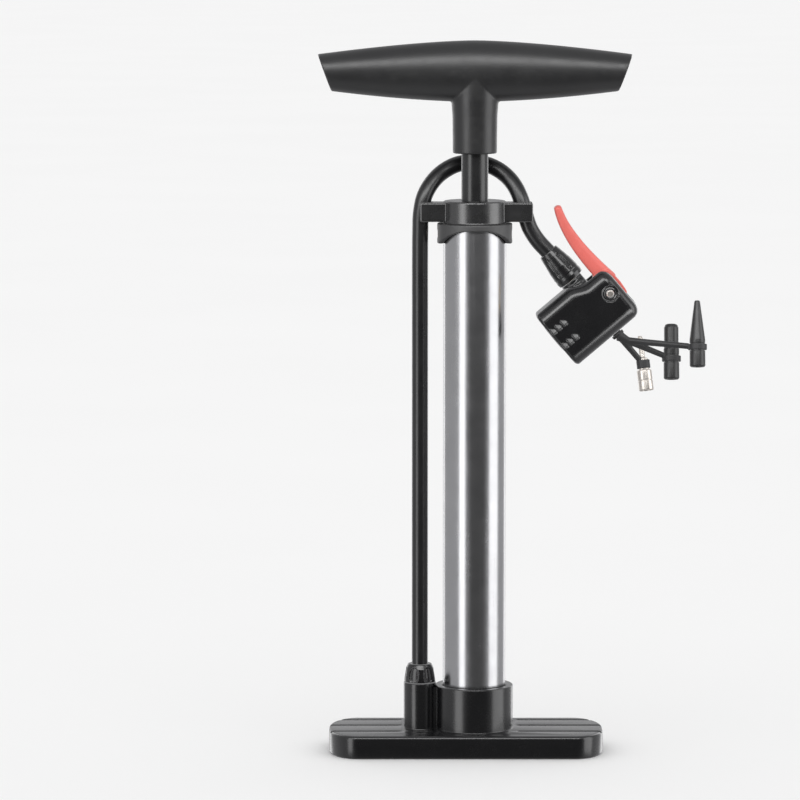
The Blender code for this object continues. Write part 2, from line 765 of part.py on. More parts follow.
def pump_head(frame):
    stations = (
        (-36.6, HEAD_TOP, 2.2),
        (-36.1, HEAD_TOP, 0.9),
        (-35.1, HEAD_TOP, 0),
        (-16, HEAD_TOP, 0),
        (-5, HEAD_REAR_TOP, 0),
        (3, HEAD_REAR_TOP, 0),
        (4.4, HEAD_REAR_TOP, 0.9),
        (5.8, HEAD_REAR_TOP, 3.2),
        (6.6, HEAD_REAR_TOP, 6),
    )
    head = loft("pump_head", [head_section(x * MM, top, inset * MM) for x, top, inset in stations], frame)
    join(head, on_neck(drum("head_neck", NECK_RADIUS, 4 * MM, NECK_TOP, ROUND, frame)))
    bores = (
        ("chamber", CHAMBER_RADIUS, -45 * MM, CHAMBER_END, ROUND),
        ("collar_bore", 9.5 * MM, -45 * MM, COLLAR_SEAT, ROUND),
        ("pusher_guide", 3 * MM, -20 * MM, -8 * MM, SMALL),
    )
    for name, radius, low, high, sides in bores:
        cut(head, along_x(drum(name, radius, low, high, sides, frame)))
    outside = 20 * MM
    slot_low = (-9.4 * MM, -SLOT_HALF_Y, -10.6 * MM)
    way_low = (-5.2 * MM, -SLOT_HALF_Y, 5 * MM)
    cut(head, block("lever_slot", slot_low, (outside, SLOT_HALF_Y, 8.5 * MM), frame))
    cut(head, block("lever_way", way_low, (outside, SLOT_HALF_Y, outside), frame))
    cut(head, on_neck(drum("tail_seat", 4.3 * MM, 9.5 * MM, 30 * MM, SMALL, frame)))
    cut(head, on_neck(drum("air_way", 1.5 * MM, 3 * MM, 12 * MM, TINY, frame)))
    cut(head, along_y(drum("pin_hole", PIN_RADIUS + GAP, -20 * MM, 20 * MM, TINY, frame)))
    for side in (-1, 1):
        near = HEAD_HALF_Y - 0.8 * MM
        spans = sorted((side * near, side * (near + 5 * MM)))
        cut(head, along_y(drum(f"pin_recess_{side}", 4.2 * MM, *spans, ROUND, frame)))
    plug_hole = drum("plug_hole", 2.6 * MM, HEAD_BOTTOM - 5 * MM, HEAD_BOTTOM + 4.5 * MM, TINY, frame)
    plug_hole.location.x = PLUG_X
    cut(head, plug_hole)
    return head


def valve_parts(frame, pusher_frame):
    collar = along_x(
        lathe(
            "valve_collar",
            [
                (7.8 * MM, -37 * MM),
                (9.2 * MM, -36.6 * MM),
                (9.2 * MM, COLLAR_SEAT - GAP),
                (4.1 * MM, COLLAR_SEAT - GAP),
            ],
            ROUND,
            frame,
        )
    )
    grommet = tube("valve_grommet", 3.9 * MM, CHAMBER_RADIUS - GAP, -31.2 * MM, -22.3 * MM, ROUND, frame)
    along_x(grommet)
    shaft = 2.7 * MM
    disc = CHAMBER_RADIUS - 0.4 * MM
    tip = -CAM_RADIUS - GAP
    pusher = along_x(
        lathe(
            "valve_pusher",
            [(0, -20 * MM), (disc, -20 * MM), (disc, -17.5 * MM), (shaft, -17.5 * MM), (shaft, tip), (0, tip)],
            SMALL,
            pusher_frame,
        )
    )
    return collar, grommet, pusher


def in_head(place):
    """A world point in the head's frame."""
    return Matrix.Rotation(HEAD_TILT, 3, "Y").inverted() @ (place - PIN_PLACE)


def lever(frame):
    """A curved blade on a cam. The cam's radius grows evenly round its underside, which works the pusher."""
    tip, bend, root = (in_head(p) for p in (LEVER_TIP, LEVER_BEND, LEVER_ROOT))
    rings = []
    steps = 10
    for i in range(-1, steps + 1):
        t = max(i, 0) / steps
        place = tip * (1 - t) ** 2 + bend * 2 * t * (1 - t) + root * t**2
        way = ((bend - tip) * (1 - t) + (root - bend) * t).normalized()
        across = Vector((-way.z, 0, way.x))
        half = (1.95 + 2.35 * t) * MM
        width = LEVER_HALF_Y - 1.2 * MM * (1 - t) ** 2
        if i < 0:
            place = place - way * 1.3 * MM
            half = 0.9 * MM
            width = LEVER_HALF_Y - 2.8 * MM
        outline = rounded_outline(width, half, min(1.6 * MM, half * 0.8), half * 0.8, 2)
        rings.append([place + Vector((0, y, 0)) + across * z for y, z in outline])
    blade = loft("lever", rings, frame)
    cam = []
    steps = 9
    for i in range(steps + 1):
        angle = pi + pi / 2 * i / steps
        radius = CAM_RADIUS + CAM_LIFT * i / steps
        cam.append((radius * cos(angle), radius * sin(angle)))
    cam += [(4.4 * MM, -7.6 * MM), (7.2 * MM, -5 * MM), (7.7 * MM, 0), (7.6 * MM, 5 * MM), (6.9 * MM, 10 * MM)]
    cam += [(-1.2 * MM, 12 * MM), (-4.2 * MM, 7 * MM)]
    join(blade, plate("lever_cam", cam, -LEVER_HALF_Y, LEVER_HALF_Y, frame))
    cut(blade, along_y(drum("lever_pin_hole", PIN_RADIUS + GAP, -20 * MM, 20 * MM, TINY, frame)))
    return blade


def lever_pin(frame):
    end = HEAD_HALF_Y - 0.5 * MM
    profile = [(0, -end), (PIN_RADIUS - 0.4 * MM, -end), (PIN_RADIUS, -end + 0.4 * MM)]
    profile += [(PIN_RADIUS, end - 0.4 * MM), (PIN_RADIUS - 0.4 * MM, end), (0, end)]
    return along_y(lathe("lever_pin", profile, TINY, frame))


# ---------------------------------------------------------------- adapters


def adapter_frames():
    frames = {}
    for name, (place, back, side) in ADAPTERS.items():
        frames[name] = empty(f"{name}_axis", place, (-back, side, 0))
    return frames


def cone_nozzle(frame):
    profile = [(2.6, -10.2), (3.6, -10.2), (4, -9.7), (4, 3.8), (1.5, 23.3), (1.2, 23.8)]
    profile += [(0.7, 23.8), (0.7, 9), (2.6, 1)]
    return lathe("cone_nozzle", [(r * MM, z * MM) for r, z in profile], SMALL, frame)


def valve_adapter(frame):
    profile = [(2.6, -10.6), (3.6, -10.6), (4, -10), (4, 5), (3.7, 5.4), (3.7, 15.9), (3.2, 17.3), (2.2, 17.8)]
    profile += [(1.9, 17.8), (1.9, 4), (2.6, 2)]
    return lathe("valve_adapter", [(r * MM, z * MM) for r, z in profile], SMALL, frame)


def ball_needle(frame):
    neck = NEEDLE_NECK_RADIUS
    profile = [(2.5, -13.6), (3.5, -13.6), (3.8, -13), (3.8, -3.3), (3.3, -2.7)]
    profile += [(neck / MM, -2.7), (neck / MM, 2.8), (1.4, 3.8), (1.4, 13.6)]
    profile += [(0.9, 14.6), (0.5, 14.6), (0.5, -4.5), (2.5, -5.5)]
    return lathe("ball_needle", [(r * MM, z * MM) for r, z in profile], TINY, frame)


def adapter_holder(frames):
    """A rubber fork: a plug in the head, and three arms that end in rings."""
    plug_low = in_head(ARM_ROOT)
    head_turn = Matrix.Rotation(HEAD_TILT, 3, "Y")

    def from_head(x, z):
        return PIN_PLACE + head_turn @ Vector((x, 0, z))

    plug_top = from_head(PLUG_X, HEAD_BOTTOM + 4 * MM)
    plug_mouth = from_head(PLUG_X, HEAD_BOTTOM - 0.9 * MM)
    foot = from_head(PLUG_X, plug_low.z - 1.2 * MM)
    holder = rod_between("adapter_holder", foot, plug_top, 2.3 * MM, 2.3 * MM, TINY)
    pad = rod_between("holder_pad", foot, plug_mouth + (foot - plug_mouth) * 0.1, 3.2 * MM, 3.4 * MM, TINY)
    fork = rod_between("holder_fork", foot, ARM_FORK, 2.8 * MM, 2 * MM, 8)
    join(holder, pad, fork)
    starts = {"cone_nozzle": ARM_FORK, "valve_adapter": ARM_FORK, "ball_needle": foot}
    for name, (place, back, side) in ADAPTERS.items():
        bore = (NEEDLE_NECK_RADIUS if name == "ball_needle" else ADAPTER_RADIUS) + GAP
        start = starts[name]
        way = (place - start).normalized()
        arm = rod_between(f"arm_{name}", start - way * MM, place, 1.5 * MM, ARM_RADIUS, 8)
        half = NEEDLE_RING_HALF if name == "ball_needle" else RING_HALF
        ring = drum(f"ring_{name}", bore + RING_WALL, -half, half, ROUND, frames[name])
        join(holder, arm, ring)
    for name in ADAPTERS:
        bore = (NEEDLE_NECK_RADIUS if name == "ball_needle" else ADAPTER_RADIUS) + GAP
        cut(holder, drum(f"ring_bore_{name}", bore, -6 * MM, 6 * MM, ROUND, frames[name]))
    return holder


# ---------------------------------------------------------------- the pump


def main():
    clear_scene()
    black_gloss = material("black_gloss_plastic", (0.018, 0.018, 0.02), 0.22)
    black_satin = material("black_satin_plastic", (0.03, 0.03, 0.032), 0.42)
    rubber = material("black_rubber", (0.015, 0.015, 0.016), 0.55)
    aluminium = material("satin_aluminium", (0.62, 0.62, 0.63), 0.28, 1.0)
    steel = material("bright_steel", (0.72, 0.7, 0.68), 0.2, 1.0)
    brass = material("brass", (0.75, 0.55, 0.25), 0.3, 1.0)
    grey_plastic = material("grey_plastic", (0.35, 0.35, 0.36), 0.45)
    red = material("coral_red_plastic", (0.75, 0.14, 0.12), 0.35)

    piston_frame = empty("piston_axis", (0, 0, 0))
    rod_frame = empty("rod_axis", (0, 0, 0))
    rod_frame.parent = piston_frame
    ball_frame = empty("check_valve_axis", (0, 0, 7.4 * MM))
    head_frame = empty("head_axis", PIN_PLACE, (0, HEAD_TILT, 0))
    lever_frame = empty("lever_axis", (0, 0, 0))
    lever_frame.parent = head_frame
    pusher_frame = empty("pusher_axis", (0, 0, 0))
    pusher_frame.parent = head_frame
    frames = adapter_frames()

    paint(black_gloss, foot_base(), channel_cover(), top_cap())
    paint(rubber, channel_gasket(), tube("barrel_seal", 14.3 * MM, 15.9 * MM, 12.3 * MM, 13.4 * MM, ROUND))
    for i, x in enumerate(SCREW_X):
        for j, y in enumerate(SCREW_Y):
            place = (x, y, 0.2 * MM)
            one = screw(f"cover_screw_{2 * i + j + 1}", place, 2.3 * MM, 0.9 * MM, 1.2 * MM, 8.1 * MM)
            paint(steel, one)
    seat, ball, spring = check_valve(ball_frame)
    paint(grey_plastic, seat)
    paint(rubber, ball)
    paint(steel, spring)
    base_nut_profile = [
        (HOSE_BORE, 31 * MM),
        (5.4 * MM, 31 * MM),
        (5.4 * MM, BOSS_TOP + GAP),
        (8 * MM, BOSS_TOP + GAP),
        (8 * MM, 38.2 * MM),
        (6.6 * MM, 42.6 * MM),
        (5.2 * MM, 45 * MM),
        (HOSE_BORE, 45 * MM),
    ]
    base_nut = hose_nut("hose_nut_base", base_nut_profile)
    base_nut.location.x = BOSS_X
    base_tail = hose_tail("hose_tail_base", 22.3 * MM, 30 * MM)
    base_tail.location.x = BOSS_X
    head_nut_profile = [
        (HOSE_BORE, NECK_TOP + GAP),
        (7 * MM, NECK_TOP + GAP),
        (7.4 * MM, NECK_TOP + 2.5 * MM),
        (6.9 * MM, 26.5 * MM),
        (5.7 * MM, 33 * MM),
        (5.1 * MM, 35.8 * MM),
        (HOSE_BORE, 35.8 * MM),
    ]
    head_nut = on_neck(hose_nut("hose_nut_head", head_nut_profile, head_frame))
    head_tail = on_neck(hose_tail("hose_tail_head", 9.8 * MM, 16.6 * MM, head_frame))
    paint(black_gloss, base_nut, head_nut)
    paint(brass, base_tail, head_tail)
    paint(rubber, hose())

    paint(aluminium, barrel())
    bush = tube("rod_bush", ROD_RADIUS + GAP, 8.5 * MM, CAP_PLUG_LOW + GAP, CAP_TOP - 1.9 * MM, ROUND)
    paint(grey_plastic, bush)
    paint(steel, *cap_screws())
    body, cup, bumper = piston_parts(piston_frame)
    paint(grey_plastic, body)
    paint(rubber, cup, bumper)
    paint(black_satin, piston_rod(rod_frame), handle_grip(rod_frame))
    paint(steel, *piston_fasteners(rod_frame), handle_screw(rod_frame))
    paint(black_satin, handle_end_plug("handle_plug_left", -1, rod_frame))
    paint(black_satin, handle_end_plug("handle_plug_right", 1, rod_frame))

    collar, grommet, pusher = valve_parts(head_frame, pusher_frame)
    paint(black_gloss, pump_head(head_frame), collar)
    paint(rubber, grommet)
    paint(brass, pusher)
    paint(red, lever(lever_frame))
    paint(steel, lever_pin(head_frame))

    paint(rubber, adapter_holder(frames))
    paint(black_satin, cone_nozzle(frames["cone_nozzle"]), valve_adapter(frames["valve_adapter"]))
    paint(steel, ball_needle(frames["ball_needle"]))


main()
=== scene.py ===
"""Visual model of a hand-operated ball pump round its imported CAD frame, with floor, lights and camera."""

from math import cos, hypot, pi, radians, sin, tan

import bmesh
import bpy
from mathutils import Euler, Matrix, Vector


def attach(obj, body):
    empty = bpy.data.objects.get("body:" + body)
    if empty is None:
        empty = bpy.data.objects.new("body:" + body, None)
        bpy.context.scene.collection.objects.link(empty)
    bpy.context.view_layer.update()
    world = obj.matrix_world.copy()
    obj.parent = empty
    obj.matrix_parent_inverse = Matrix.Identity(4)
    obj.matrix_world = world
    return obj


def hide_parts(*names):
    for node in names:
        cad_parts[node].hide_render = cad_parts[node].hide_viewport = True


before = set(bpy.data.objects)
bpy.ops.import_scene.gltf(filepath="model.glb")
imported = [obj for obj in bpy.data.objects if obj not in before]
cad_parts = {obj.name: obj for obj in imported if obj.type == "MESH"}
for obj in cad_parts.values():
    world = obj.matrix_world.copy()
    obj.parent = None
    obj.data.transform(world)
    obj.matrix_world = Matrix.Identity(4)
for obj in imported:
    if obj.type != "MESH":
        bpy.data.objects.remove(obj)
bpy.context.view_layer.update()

MM = 0.001

# Places shared with the CAD source, in millimetres.
BASE_CENTRE_X = -4.15
BASE_HALF_X = 70.3
BASE_HALF_Y = 28
BASE_HEIGHT = 11.8
BOSS_X = -27.8
CUP_TOP = 34.2
BOSS_TOP = 35.4
BARREL_RADIUS = 16
BARREL_LOW = 13.7
BARREL_HIGH = 270.2
CAP_TOP = 283
SKIRT_LOW = 261.4
EAR_LOW = 272.4
EAR_HIGH = 282.2
ROD_RADIUS = 6.8
BAR_HALF_X = 76.2
STEM_RADIUS = 11.2
STEM_LOW = 307
HANDLE_SCREW_Z = 322
PRONG_SCREW_Z = 266
PIN_PLACE = Vector((68.6, 0, 236.4))
HEAD_TILT = radians(-40.3)
HEAD_HALF_Y = 11.5
HEAD_BOTTOM = -17.8
HEAD_TOP = 15.8
HEAD_REAR_TOP = 12.3
NECK_X = -10.6
PLUG_X = -10.7
HOSE_DIAMETER = 8.2
HOSE_BORE = 4.5
# The points that the hose is led through, from the base to the pump head.
HOSE_ROUTE = (
    (-27.8, 0, 30.3),
    (-27.8, 0, 63.6),
    (-27.8, 0, 96.9),
    (-27.8, 0, 130.2),
    (-27.8, 0, 163.4),
    (-27.8, 0, 196.7),
    (-27.8, 0, 230),
    (-27.8, 0, 254.5),
    (-27.7, 0, 267.5),
    (-27.4, 0.2, 276.3),
    (-25.6, 1.4, 285),
    (-21.5, 4.4, 292.1),
    (-15.7, 8.2, 297.4),
    (-8.6, 10.8, 300.8),
    (-0.8, 11.6, 301.7),
    (7, 10.8, 300.4),
    (14.2, 8.3, 296.7),
    (19.8, 4.5, 291),
    (23.4, 1.4, 283.8),
    (25.6, 0.2, 276.1),
    (28.1, 0, 268.8),
    (32, 0, 262.7),
    (37.1, 0, 257.1),
    (43, 0, 250.1),
    (48.9, 0, 243.1),
)
ADAPTERS = {
    "cone_nozzle": (Vector((113.6, -1, 208.3)), radians(12), 0),
    "valve_adapter": (Vector((100.8, 6, 201.6)), radians(12), 0),
    "ball_needle": (Vector((86.4, 5.2, 198.8)), radians(10), radians(-7)),
}
ARM_ROOT = Vector((71.6, 0, 213.8))
ARM_FORK = Vector((78, 0.6, 211.4))
LEVER_LINE = ((42.2, 0, 279.1), (46.5, 0, 263.3), (68.6, 0, 242.4))

# Places and sizes that several pieces share, in millimetres.
BARREL_BORE = 14.75
PRONG_HOLE = 1.4
HANDLE_SCREW_HOLE = 2
PIN_HOLE = 2
COVER_SCREW_XS = (-37, 11)
COVER_SCREW_YS = (-6, 6)
GROOVE_YS = (-12, 5, 21)
GRIP_PAD_XS = (-34.4, -31, -27.4)
GRIP_PAD_ZS = (4.4, -4.8)
LIGHT_TARGET = Vector((0, 0, 0.19))  # in metres

# The pieces at the hose's end of the pump, which the barrel and cap don't mirror.
UNMIRRORED = (
    "air_hose", "hose_nut_base_shell", "hose_nut_head_shell", "pump_head_shell", "lever_shell",
    "lever_pin_shell", "valve_collar_shell", "adapter_holder_shell", "cone_nozzle_shell",
    "valve_adapter_shell", "ball_needle_shell",
)


# ---------------------------------------------------------------- finishes


def add(tree, kind, settings=None, **sockets):
    """Adds a node, with its sockets set or linked by name."""
    made = tree.nodes.new(kind)
    for key, value in (settings or {}).items():
        setattr(made, key, value)
    for key, value in sockets.items():
        socket = made.inputs[key.replace("_", " ")]
        if isinstance(value, bpy.types.NodeSocket):
            tree.links.new(value, socket)
        else:
            socket.default_value = value
    return made


def stretched(tree, x, y, z):
    """The object's own coordinates, scaled along each axis."""
    place = add(tree, "ShaderNodeTexCoord")
    return add(tree, "ShaderNodeMapping", Vector=place.outputs["Object"], Scale=(x, y, z)).outputs[0]


def noise(tree, vector, scale, detail=3.0, roughness=0.5):
    made = add(tree, "ShaderNodeTexNoise", Vector=vector, Scale=scale, Detail=detail, Roughness=roughness)
    return made.outputs[0]


def spread(tree, value, low, high, to_low, to_high):
    limits = {"From_Min": low, "From_Max": high, "To_Min": to_low, "To_Max": to_high}
    return add(tree, "ShaderNodeMapRange", Value=value, **limits).outputs[0]


def ramp(tree, value, stops):
    made = add(tree, "ShaderNodeValToRGB", Fac=value)
    elements = made.color_ramp.elements
    elements.remove(elements[1])
    elements[0].position = stops[0][0]
    elements[0].color = (*stops[0][1], 1)
    for place, colour in stops[1:]:
        elements.new(place).color = (*colour, 1)
    return made.outputs[0]


def finish(
    name, colours, roughness, grain, bump, marks=(1, 1, 1), mark_depth=0.25, dull_below=None, **sockets
):
    """A surface whose colour drifts between two tones, with a fine grain and faint handling marks.

    colours are the two tones, roughness the two limits, grain the grain's size and bump its depth in mm.
    marks stretches the grain and the handling marks, and mark_depth says how much rougher the marks are.
    Below the height dull_below, in mm, the surface is rougher throughout. sockets set the shader's values.
    """
    made = bpy.data.materials.new(name)
    made.use_nodes = True
    tree = made.node_tree
    shader = tree.nodes["Principled BSDF"]
    flat = stretched(tree, 1, 1, 1)
    drift = noise(tree, flat, 45, 4, 0.6)
    tree.links.new(ramp(tree, drift, ((0.3, colours[0]), (0.7, colours[1]))), shader.inputs["Base Color"])
    drawn = stretched(tree, *marks)
    streaks = noise(tree, drawn, 260, 5, 0.62)
    lines = spread(tree, streaks, 0.52, 0.78, 0, mark_depth)
    cloud = spread(tree, noise(tree, flat, 120, 4, 0.55), 0.3, 0.7, *roughness)
    if dull_below:
        height = add(tree, "ShaderNodeSeparateXYZ", Vector=flat).outputs["Z"]
        dull = spread(tree, height, (dull_below - 0.4) * MM, dull_below * MM, 0.3, 0)
        more = add(tree, "ShaderNodeMath", {"operation": "ADD"})
        tree.links.new(cloud, more.inputs[0])
        tree.links.new(dull, more.inputs[1])
        cloud = more.outputs[0]
    total = add(tree, "ShaderNodeMath", {"operation": "ADD", "use_clamp": True})
    tree.links.new(lines, total.inputs[0])
    tree.links.new(cloud, total.inputs[1])
    tree.links.new(total.outputs[0], shader.inputs["Roughness"])
    fine = noise(tree, drawn, 1 / (grain * MM), 3, 0.6)
    height = add(tree, "ShaderNodeBump", Strength=1.0, Distance=bump * MM, Height=fine)
    tree.links.new(height.outputs[0], shader.inputs["Normal"])
    for key, value in sockets.items():
        shader.inputs[key.replace("_", " ")].default_value = value
    return made


FINISHES = {
    "black_gloss": finish(
        "black_gloss_plastic", ((0.0025, 0.0025, 0.003), (0.004, 0.004, 0.0045)), (0.22, 0.27), 1.6, 0.002,
        mark_depth=0.06, IOR=1.5, Coat_Weight=0.4, Coat_Roughness=0.18,
    ),
    "cap_gloss": finish(
        "black_cap_plastic", ((0.003, 0.003, 0.0035), (0.005, 0.005, 0.0055)), (0.24, 0.3), 1.6, 0.002,
        mark_depth=0.06, dull_below=271.8, IOR=1.95,
    ),
    "rod_gloss": finish(
        "black_rod_plastic", ((0.005, 0.005, 0.0055), (0.008, 0.008, 0.0085)), (0.22, 0.28), 0.8, 0.003,
        marks=(1, 1, 0.1), mark_depth=0.1, IOR=1.6,
    ),
    "black_satin": finish(
        "black_satin_plastic", ((0.005, 0.005, 0.0055), (0.008, 0.008, 0.0085)), (0.34, 0.4), 0.5, 0.006,
        mark_depth=0.08, IOR=1.6,
    ),
    "black_rubber": finish(
        "black_rubber", ((0.012, 0.012, 0.013), (0.02, 0.02, 0.021)), (0.42, 0.52), 0.35, 0.01,
        mark_depth=0.15, IOR=1.5,
    ),
    "hose_rubber": finish(
        "hose_rubber", ((0.003, 0.003, 0.0035), (0.006, 0.006, 0.0065)), (0.26, 0.33), 0.6, 0.003,
        marks=(1, 1, 0.25), mark_depth=0.1, IOR=1.6,
    ),
    "aluminium": finish(
        "satin_aluminium", ((0.40, 0.40, 0.41), (0.44, 0.44, 0.45)), (0.2, 0.25), 0.35, 0.0025,
        marks=(1, 1, 0.03), mark_depth=0.09, Metallic=1.0,
    ),
    "steel": finish(
        "bright_steel", ((0.6, 0.56, 0.52), (0.72, 0.68, 0.63)), (0.3, 0.4), 0.3, 0.004,
        marks=(1, 1, 0.2), mark_depth=0.2, Metallic=1.0,
    ),
    "brass": finish(
        "brass", ((0.62, 0.42, 0.17), (0.74, 0.54, 0.25)), (0.22, 0.34), 0.3, 0.005,
        mark_depth=0.2, Metallic=1.0,
    ),
    "grey_plastic": finish(
        "grey_plastic", ((0.27, 0.27, 0.28), (0.34, 0.34, 0.35)), (0.4, 0.5), 0.5, 0.012, mark_depth=0.15,
    ),
    "coral_red": finish(
        "coral_red_plastic", ((0.46, 0.088, 0.072), (0.55, 0.11, 0.092)), (0.34, 0.42), 0.5, 0.006,
        mark_depth=0.12, IOR=1.45,
    ),
}


# ---------------------------------------------------------------- shapes, in millimetres


def mesh_object(name, points, faces):
    """A closed mesh object with its faces turned outwards."""
    mesh = bpy.data.meshes.new(name)
    mesh.from_pydata([tuple(p) for p in points], [], faces)
    shape = bmesh.new()
    shape.from_mesh(mesh)
    bmesh.ops.recalc_face_normals(shape, faces=shape.faces)
    shape.to_mesh(mesh)
    shape.free()
    made = bpy.data.objects.new(name, mesh)
    bpy.context.scene.collection.objects.link(made)
    return made


def loft(name, rings, closed=False):
    """A solid skinned over rings of equally many points. It has flat ends, unless closed makes it a loop."""
    count = len(rings[0])
    points = [point for ring in rings for point in ring]
    faces = []
    if not closed:
        faces = [list(range(count)), list(range(len(points) - count, len(points)))]
    levels = len(rings) if closed else len(rings) - 1
    for level in range(levels):
        start = level * count
        above = (level + 1) % len(rings) * count
        for i in range(count):
            j = (i + 1) % count
            faces.append((start + i, start + j, above + j, above + i))
    return mesh_object(name, points, faces)


def softened(points, closed=True, steps=4):
    """A run of (a, b, radius) corners, each rounded to its radius, as (a, b) points."""
    made = []
    for i, (a, b, radius) in enumerate(points):
        if radius == 0 or (not closed and i in (0, len(points) - 1)):
            made.append((a, b))
            continue
        here = Vector((a, b))
        before = Vector(points[i - 1][:2]) - here
        after = Vector(points[(i + 1) % len(points)][:2]) - here
        reach = radius / tan(before.angle(after) / 2)
        reach = min(reach, 0.49 * before.length, 0.49 * after.length)
        start = here + before.normalized() * reach
        end = here + after.normalized() * reach
        for k in range(steps + 1):
            t = k / steps
            place = start * (1 - t) ** 2 + here * 2 * t * (1 - t) + end * t**2
            made.append((place.x, place.y))
    return made


def lathe(name, profile, sides, shape=None):
    """A profile of (radius, height) turned about Z: solid if its ends are on the axis, else a ring.

    shape(angle, radius, height), if given, returns the radius to use at that angle.
    """
    solid = profile[0][0] == 0
    inner = profile[1:-1] if solid else profile
    rings = []
    for radius, height in inner:
        ring = []
        for i in range(sides):
            angle = 2 * pi * i / sides
            reach = shape(angle, radius, height) if shape else radius
            ring.append((reach * cos(angle), reach * sin(angle), height))
        rings.append(ring)
    if not solid:
        return loft(name, rings, closed=True)
    points = [point for ring in rings for point in ring]
    faces = []
    for level in range(len(rings) - 1):
        for i in range(sides):
            j = (i + 1) % sides
            low = level * sides
            faces.append((low + i, low + j, low + sides + j, low + sides + i))
    top = (len(rings) - 1) * sides
    for start, (_, height), flat in ((0, profile[0], inner[0][1]), (top, profile[-1], inner[-1][1])):
        if height == flat:
            faces.append(list(range(start, start + sides)))
            continue
        points.append((0, 0, height))
        for i in range(sides):
            faces.append((start + i, start + (i + 1) % sides, len(points) - 1))
    return mesh_object(name, points, faces)


def drum(name, radius, low, high, sides=64, edge=0.0):
    corners = ((0, low, 0), (radius, low, edge), (radius, high, edge), (0, high, 0))
    return lathe(name, softened(corners, closed=False), sides)


def block(name, low, high):
    ring = [(low[0], low[1]), (high[0], low[1]), (high[0], high[1]), (low[0], high[1])]
    return loft(name, [[(x, y, z) for x, y in ring] for z in (low[2], high[2])])


def slab(name, outline, low, high, edge=0.0):
    """An outline of (x, z) points carried along Y, its ends eased by small steps inwards about its middle."""
    middle = Vector((sum(x for x, _ in outline), sum(z for _, z in outline))) / len(outline)
    levels = [(low, edge), (low + edge, 0), (high - edge, 0), (high, edge)] if edge else [(low, 0), (high, 0)]
    rings = []
    for y, inset in levels:
        ring = []
        for x, z in outline:
            away = Vector((x, z)) - middle
            away *= 1 - inset / max(away.length, 0.001)
            ring.append((middle.x + away.x, y, middle.y + away.y))
        rings.append(ring)
    return loft(name, rings)


def moved(obj, place=(0, 0, 0), turn=(0, 0, 0)):
    obj.data.transform(Matrix.Translation(Vector(place)) @ Euler(turn).to_matrix().to_4x4())
    return obj


def along_x(obj, place=(0, 0, 0)):
    return moved(obj, place, (0, pi / 2, 0))


def along_y(obj, place=(0, 0, 0)):
    return moved(obj, place, (-pi / 2, 0, 0))


def settle(obj):
    """Puts the result of the modifiers into the mesh."""
    bpy.context.view_layer.update()
    graph = bpy.context.evaluated_depsgraph_get()
    mesh = bpy.data.meshes.new_from_object(obj.evaluated_get(graph))
    obj.modifiers.clear()
    obj.data = mesh
    return obj


def change(target, operation, tools):
    for tool in tools:
        step = target.modifiers.new("step", "BOOLEAN")
        step.operation = operation
        step.solver = "EXACT"
        step.object = tool
    settle(target)
    for tool in tools:
        bpy.data.objects.remove(tool, do_unlink=True)
    return target


def join(target, *tools):
    return change(target, "UNION", tools)


def cut(target, *tools):
    return change(target, "DIFFERENCE", tools)


def gathered(name, parts):
    """The parts' meshes in one object, still overlapping, ready to be skinned as one."""
    shape = bmesh.new()
    for part in parts:
        shape.from_mesh(part.data)
        bpy.data.objects.remove(part, do_unlink=True)
    mesh = bpy.data.meshes.new(name)
    shape.to_mesh(mesh)
    shape.free()
    made = bpy.data.objects.new(name, mesh)
    bpy.context.scene.collection.objects.link(made)
    return made


def reskinned(obj, voxel, rounds):
    """A fresh even skin, eased so that every edge is softly rounded as in a moulding."""
    skin = obj.modifiers.new("skin", "REMESH")
    skin.mode = "VOXEL"
    skin.voxel_size = voxel
    ease = obj.modifiers.new("ease", "SMOOTH")
    ease.factor = 0.5
    ease.iterations = rounds
    return settle(obj)


def rounded_outline(half_x, half_y, corner_x, corner_y, steps, centre=(0, 0)):
    points = []
    for quarter, (side_x, side_y) in enumerate(((1, 1), (-1, 1), (-1, -1), (1, -1))):
        for step in range(steps + 1):
            angle = pi / 2 * (quarter + step / steps)
            x = side_x * (half_x - corner_x) + corner_x * cos(angle)
            y = side_y * (half_y - corner_y) + corner_y * sin(angle)
            points.append((centre[0] + x, centre[1] + y))
    return points


def tube_along(name, places, radii, sides=24, flat=1.0):
    """A bar through places; flat scales it along Y."""
    rings = []
    for i, (place, radius) in enumerate(zip(places, radii)):
        way = places[min(i + 1, len(places) - 1)] - places[max(i - 1, 0)]
        side = way.cross(Vector((0, 1, 0))).normalized()
        other = side.cross(way).normalized() * flat
        ring = []
        for k in range(sides):
            angle = 2 * pi * k / sides
            ring.append(place + (side * cos(angle) + other * sin(angle)) * radius)
        rings.append(ring)
    return loft(name, rings)


def piece(obj, body, slot, *nodes, flat_angle=35, look=None):
    """Turns a finished shape into a piece: metres, finish, body and the CAD nodes that it stands for.

    look names a finish other than the slot's own.
    """
    if obj.type == "MESH":
        obj.data.transform(Matrix.Scale(MM, 4))
        obj.data.shade_smooth()
        if flat_angle:
            obj.data.set_sharp_from_angle(angle=radians(flat_angle))
    obj.data.materials.clear()
    obj.data.materials.append(FINISHES[look or slot])
    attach(obj, body)
    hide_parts(*nodes)
    return obj


# ---------------------------------------------------------------- foot base


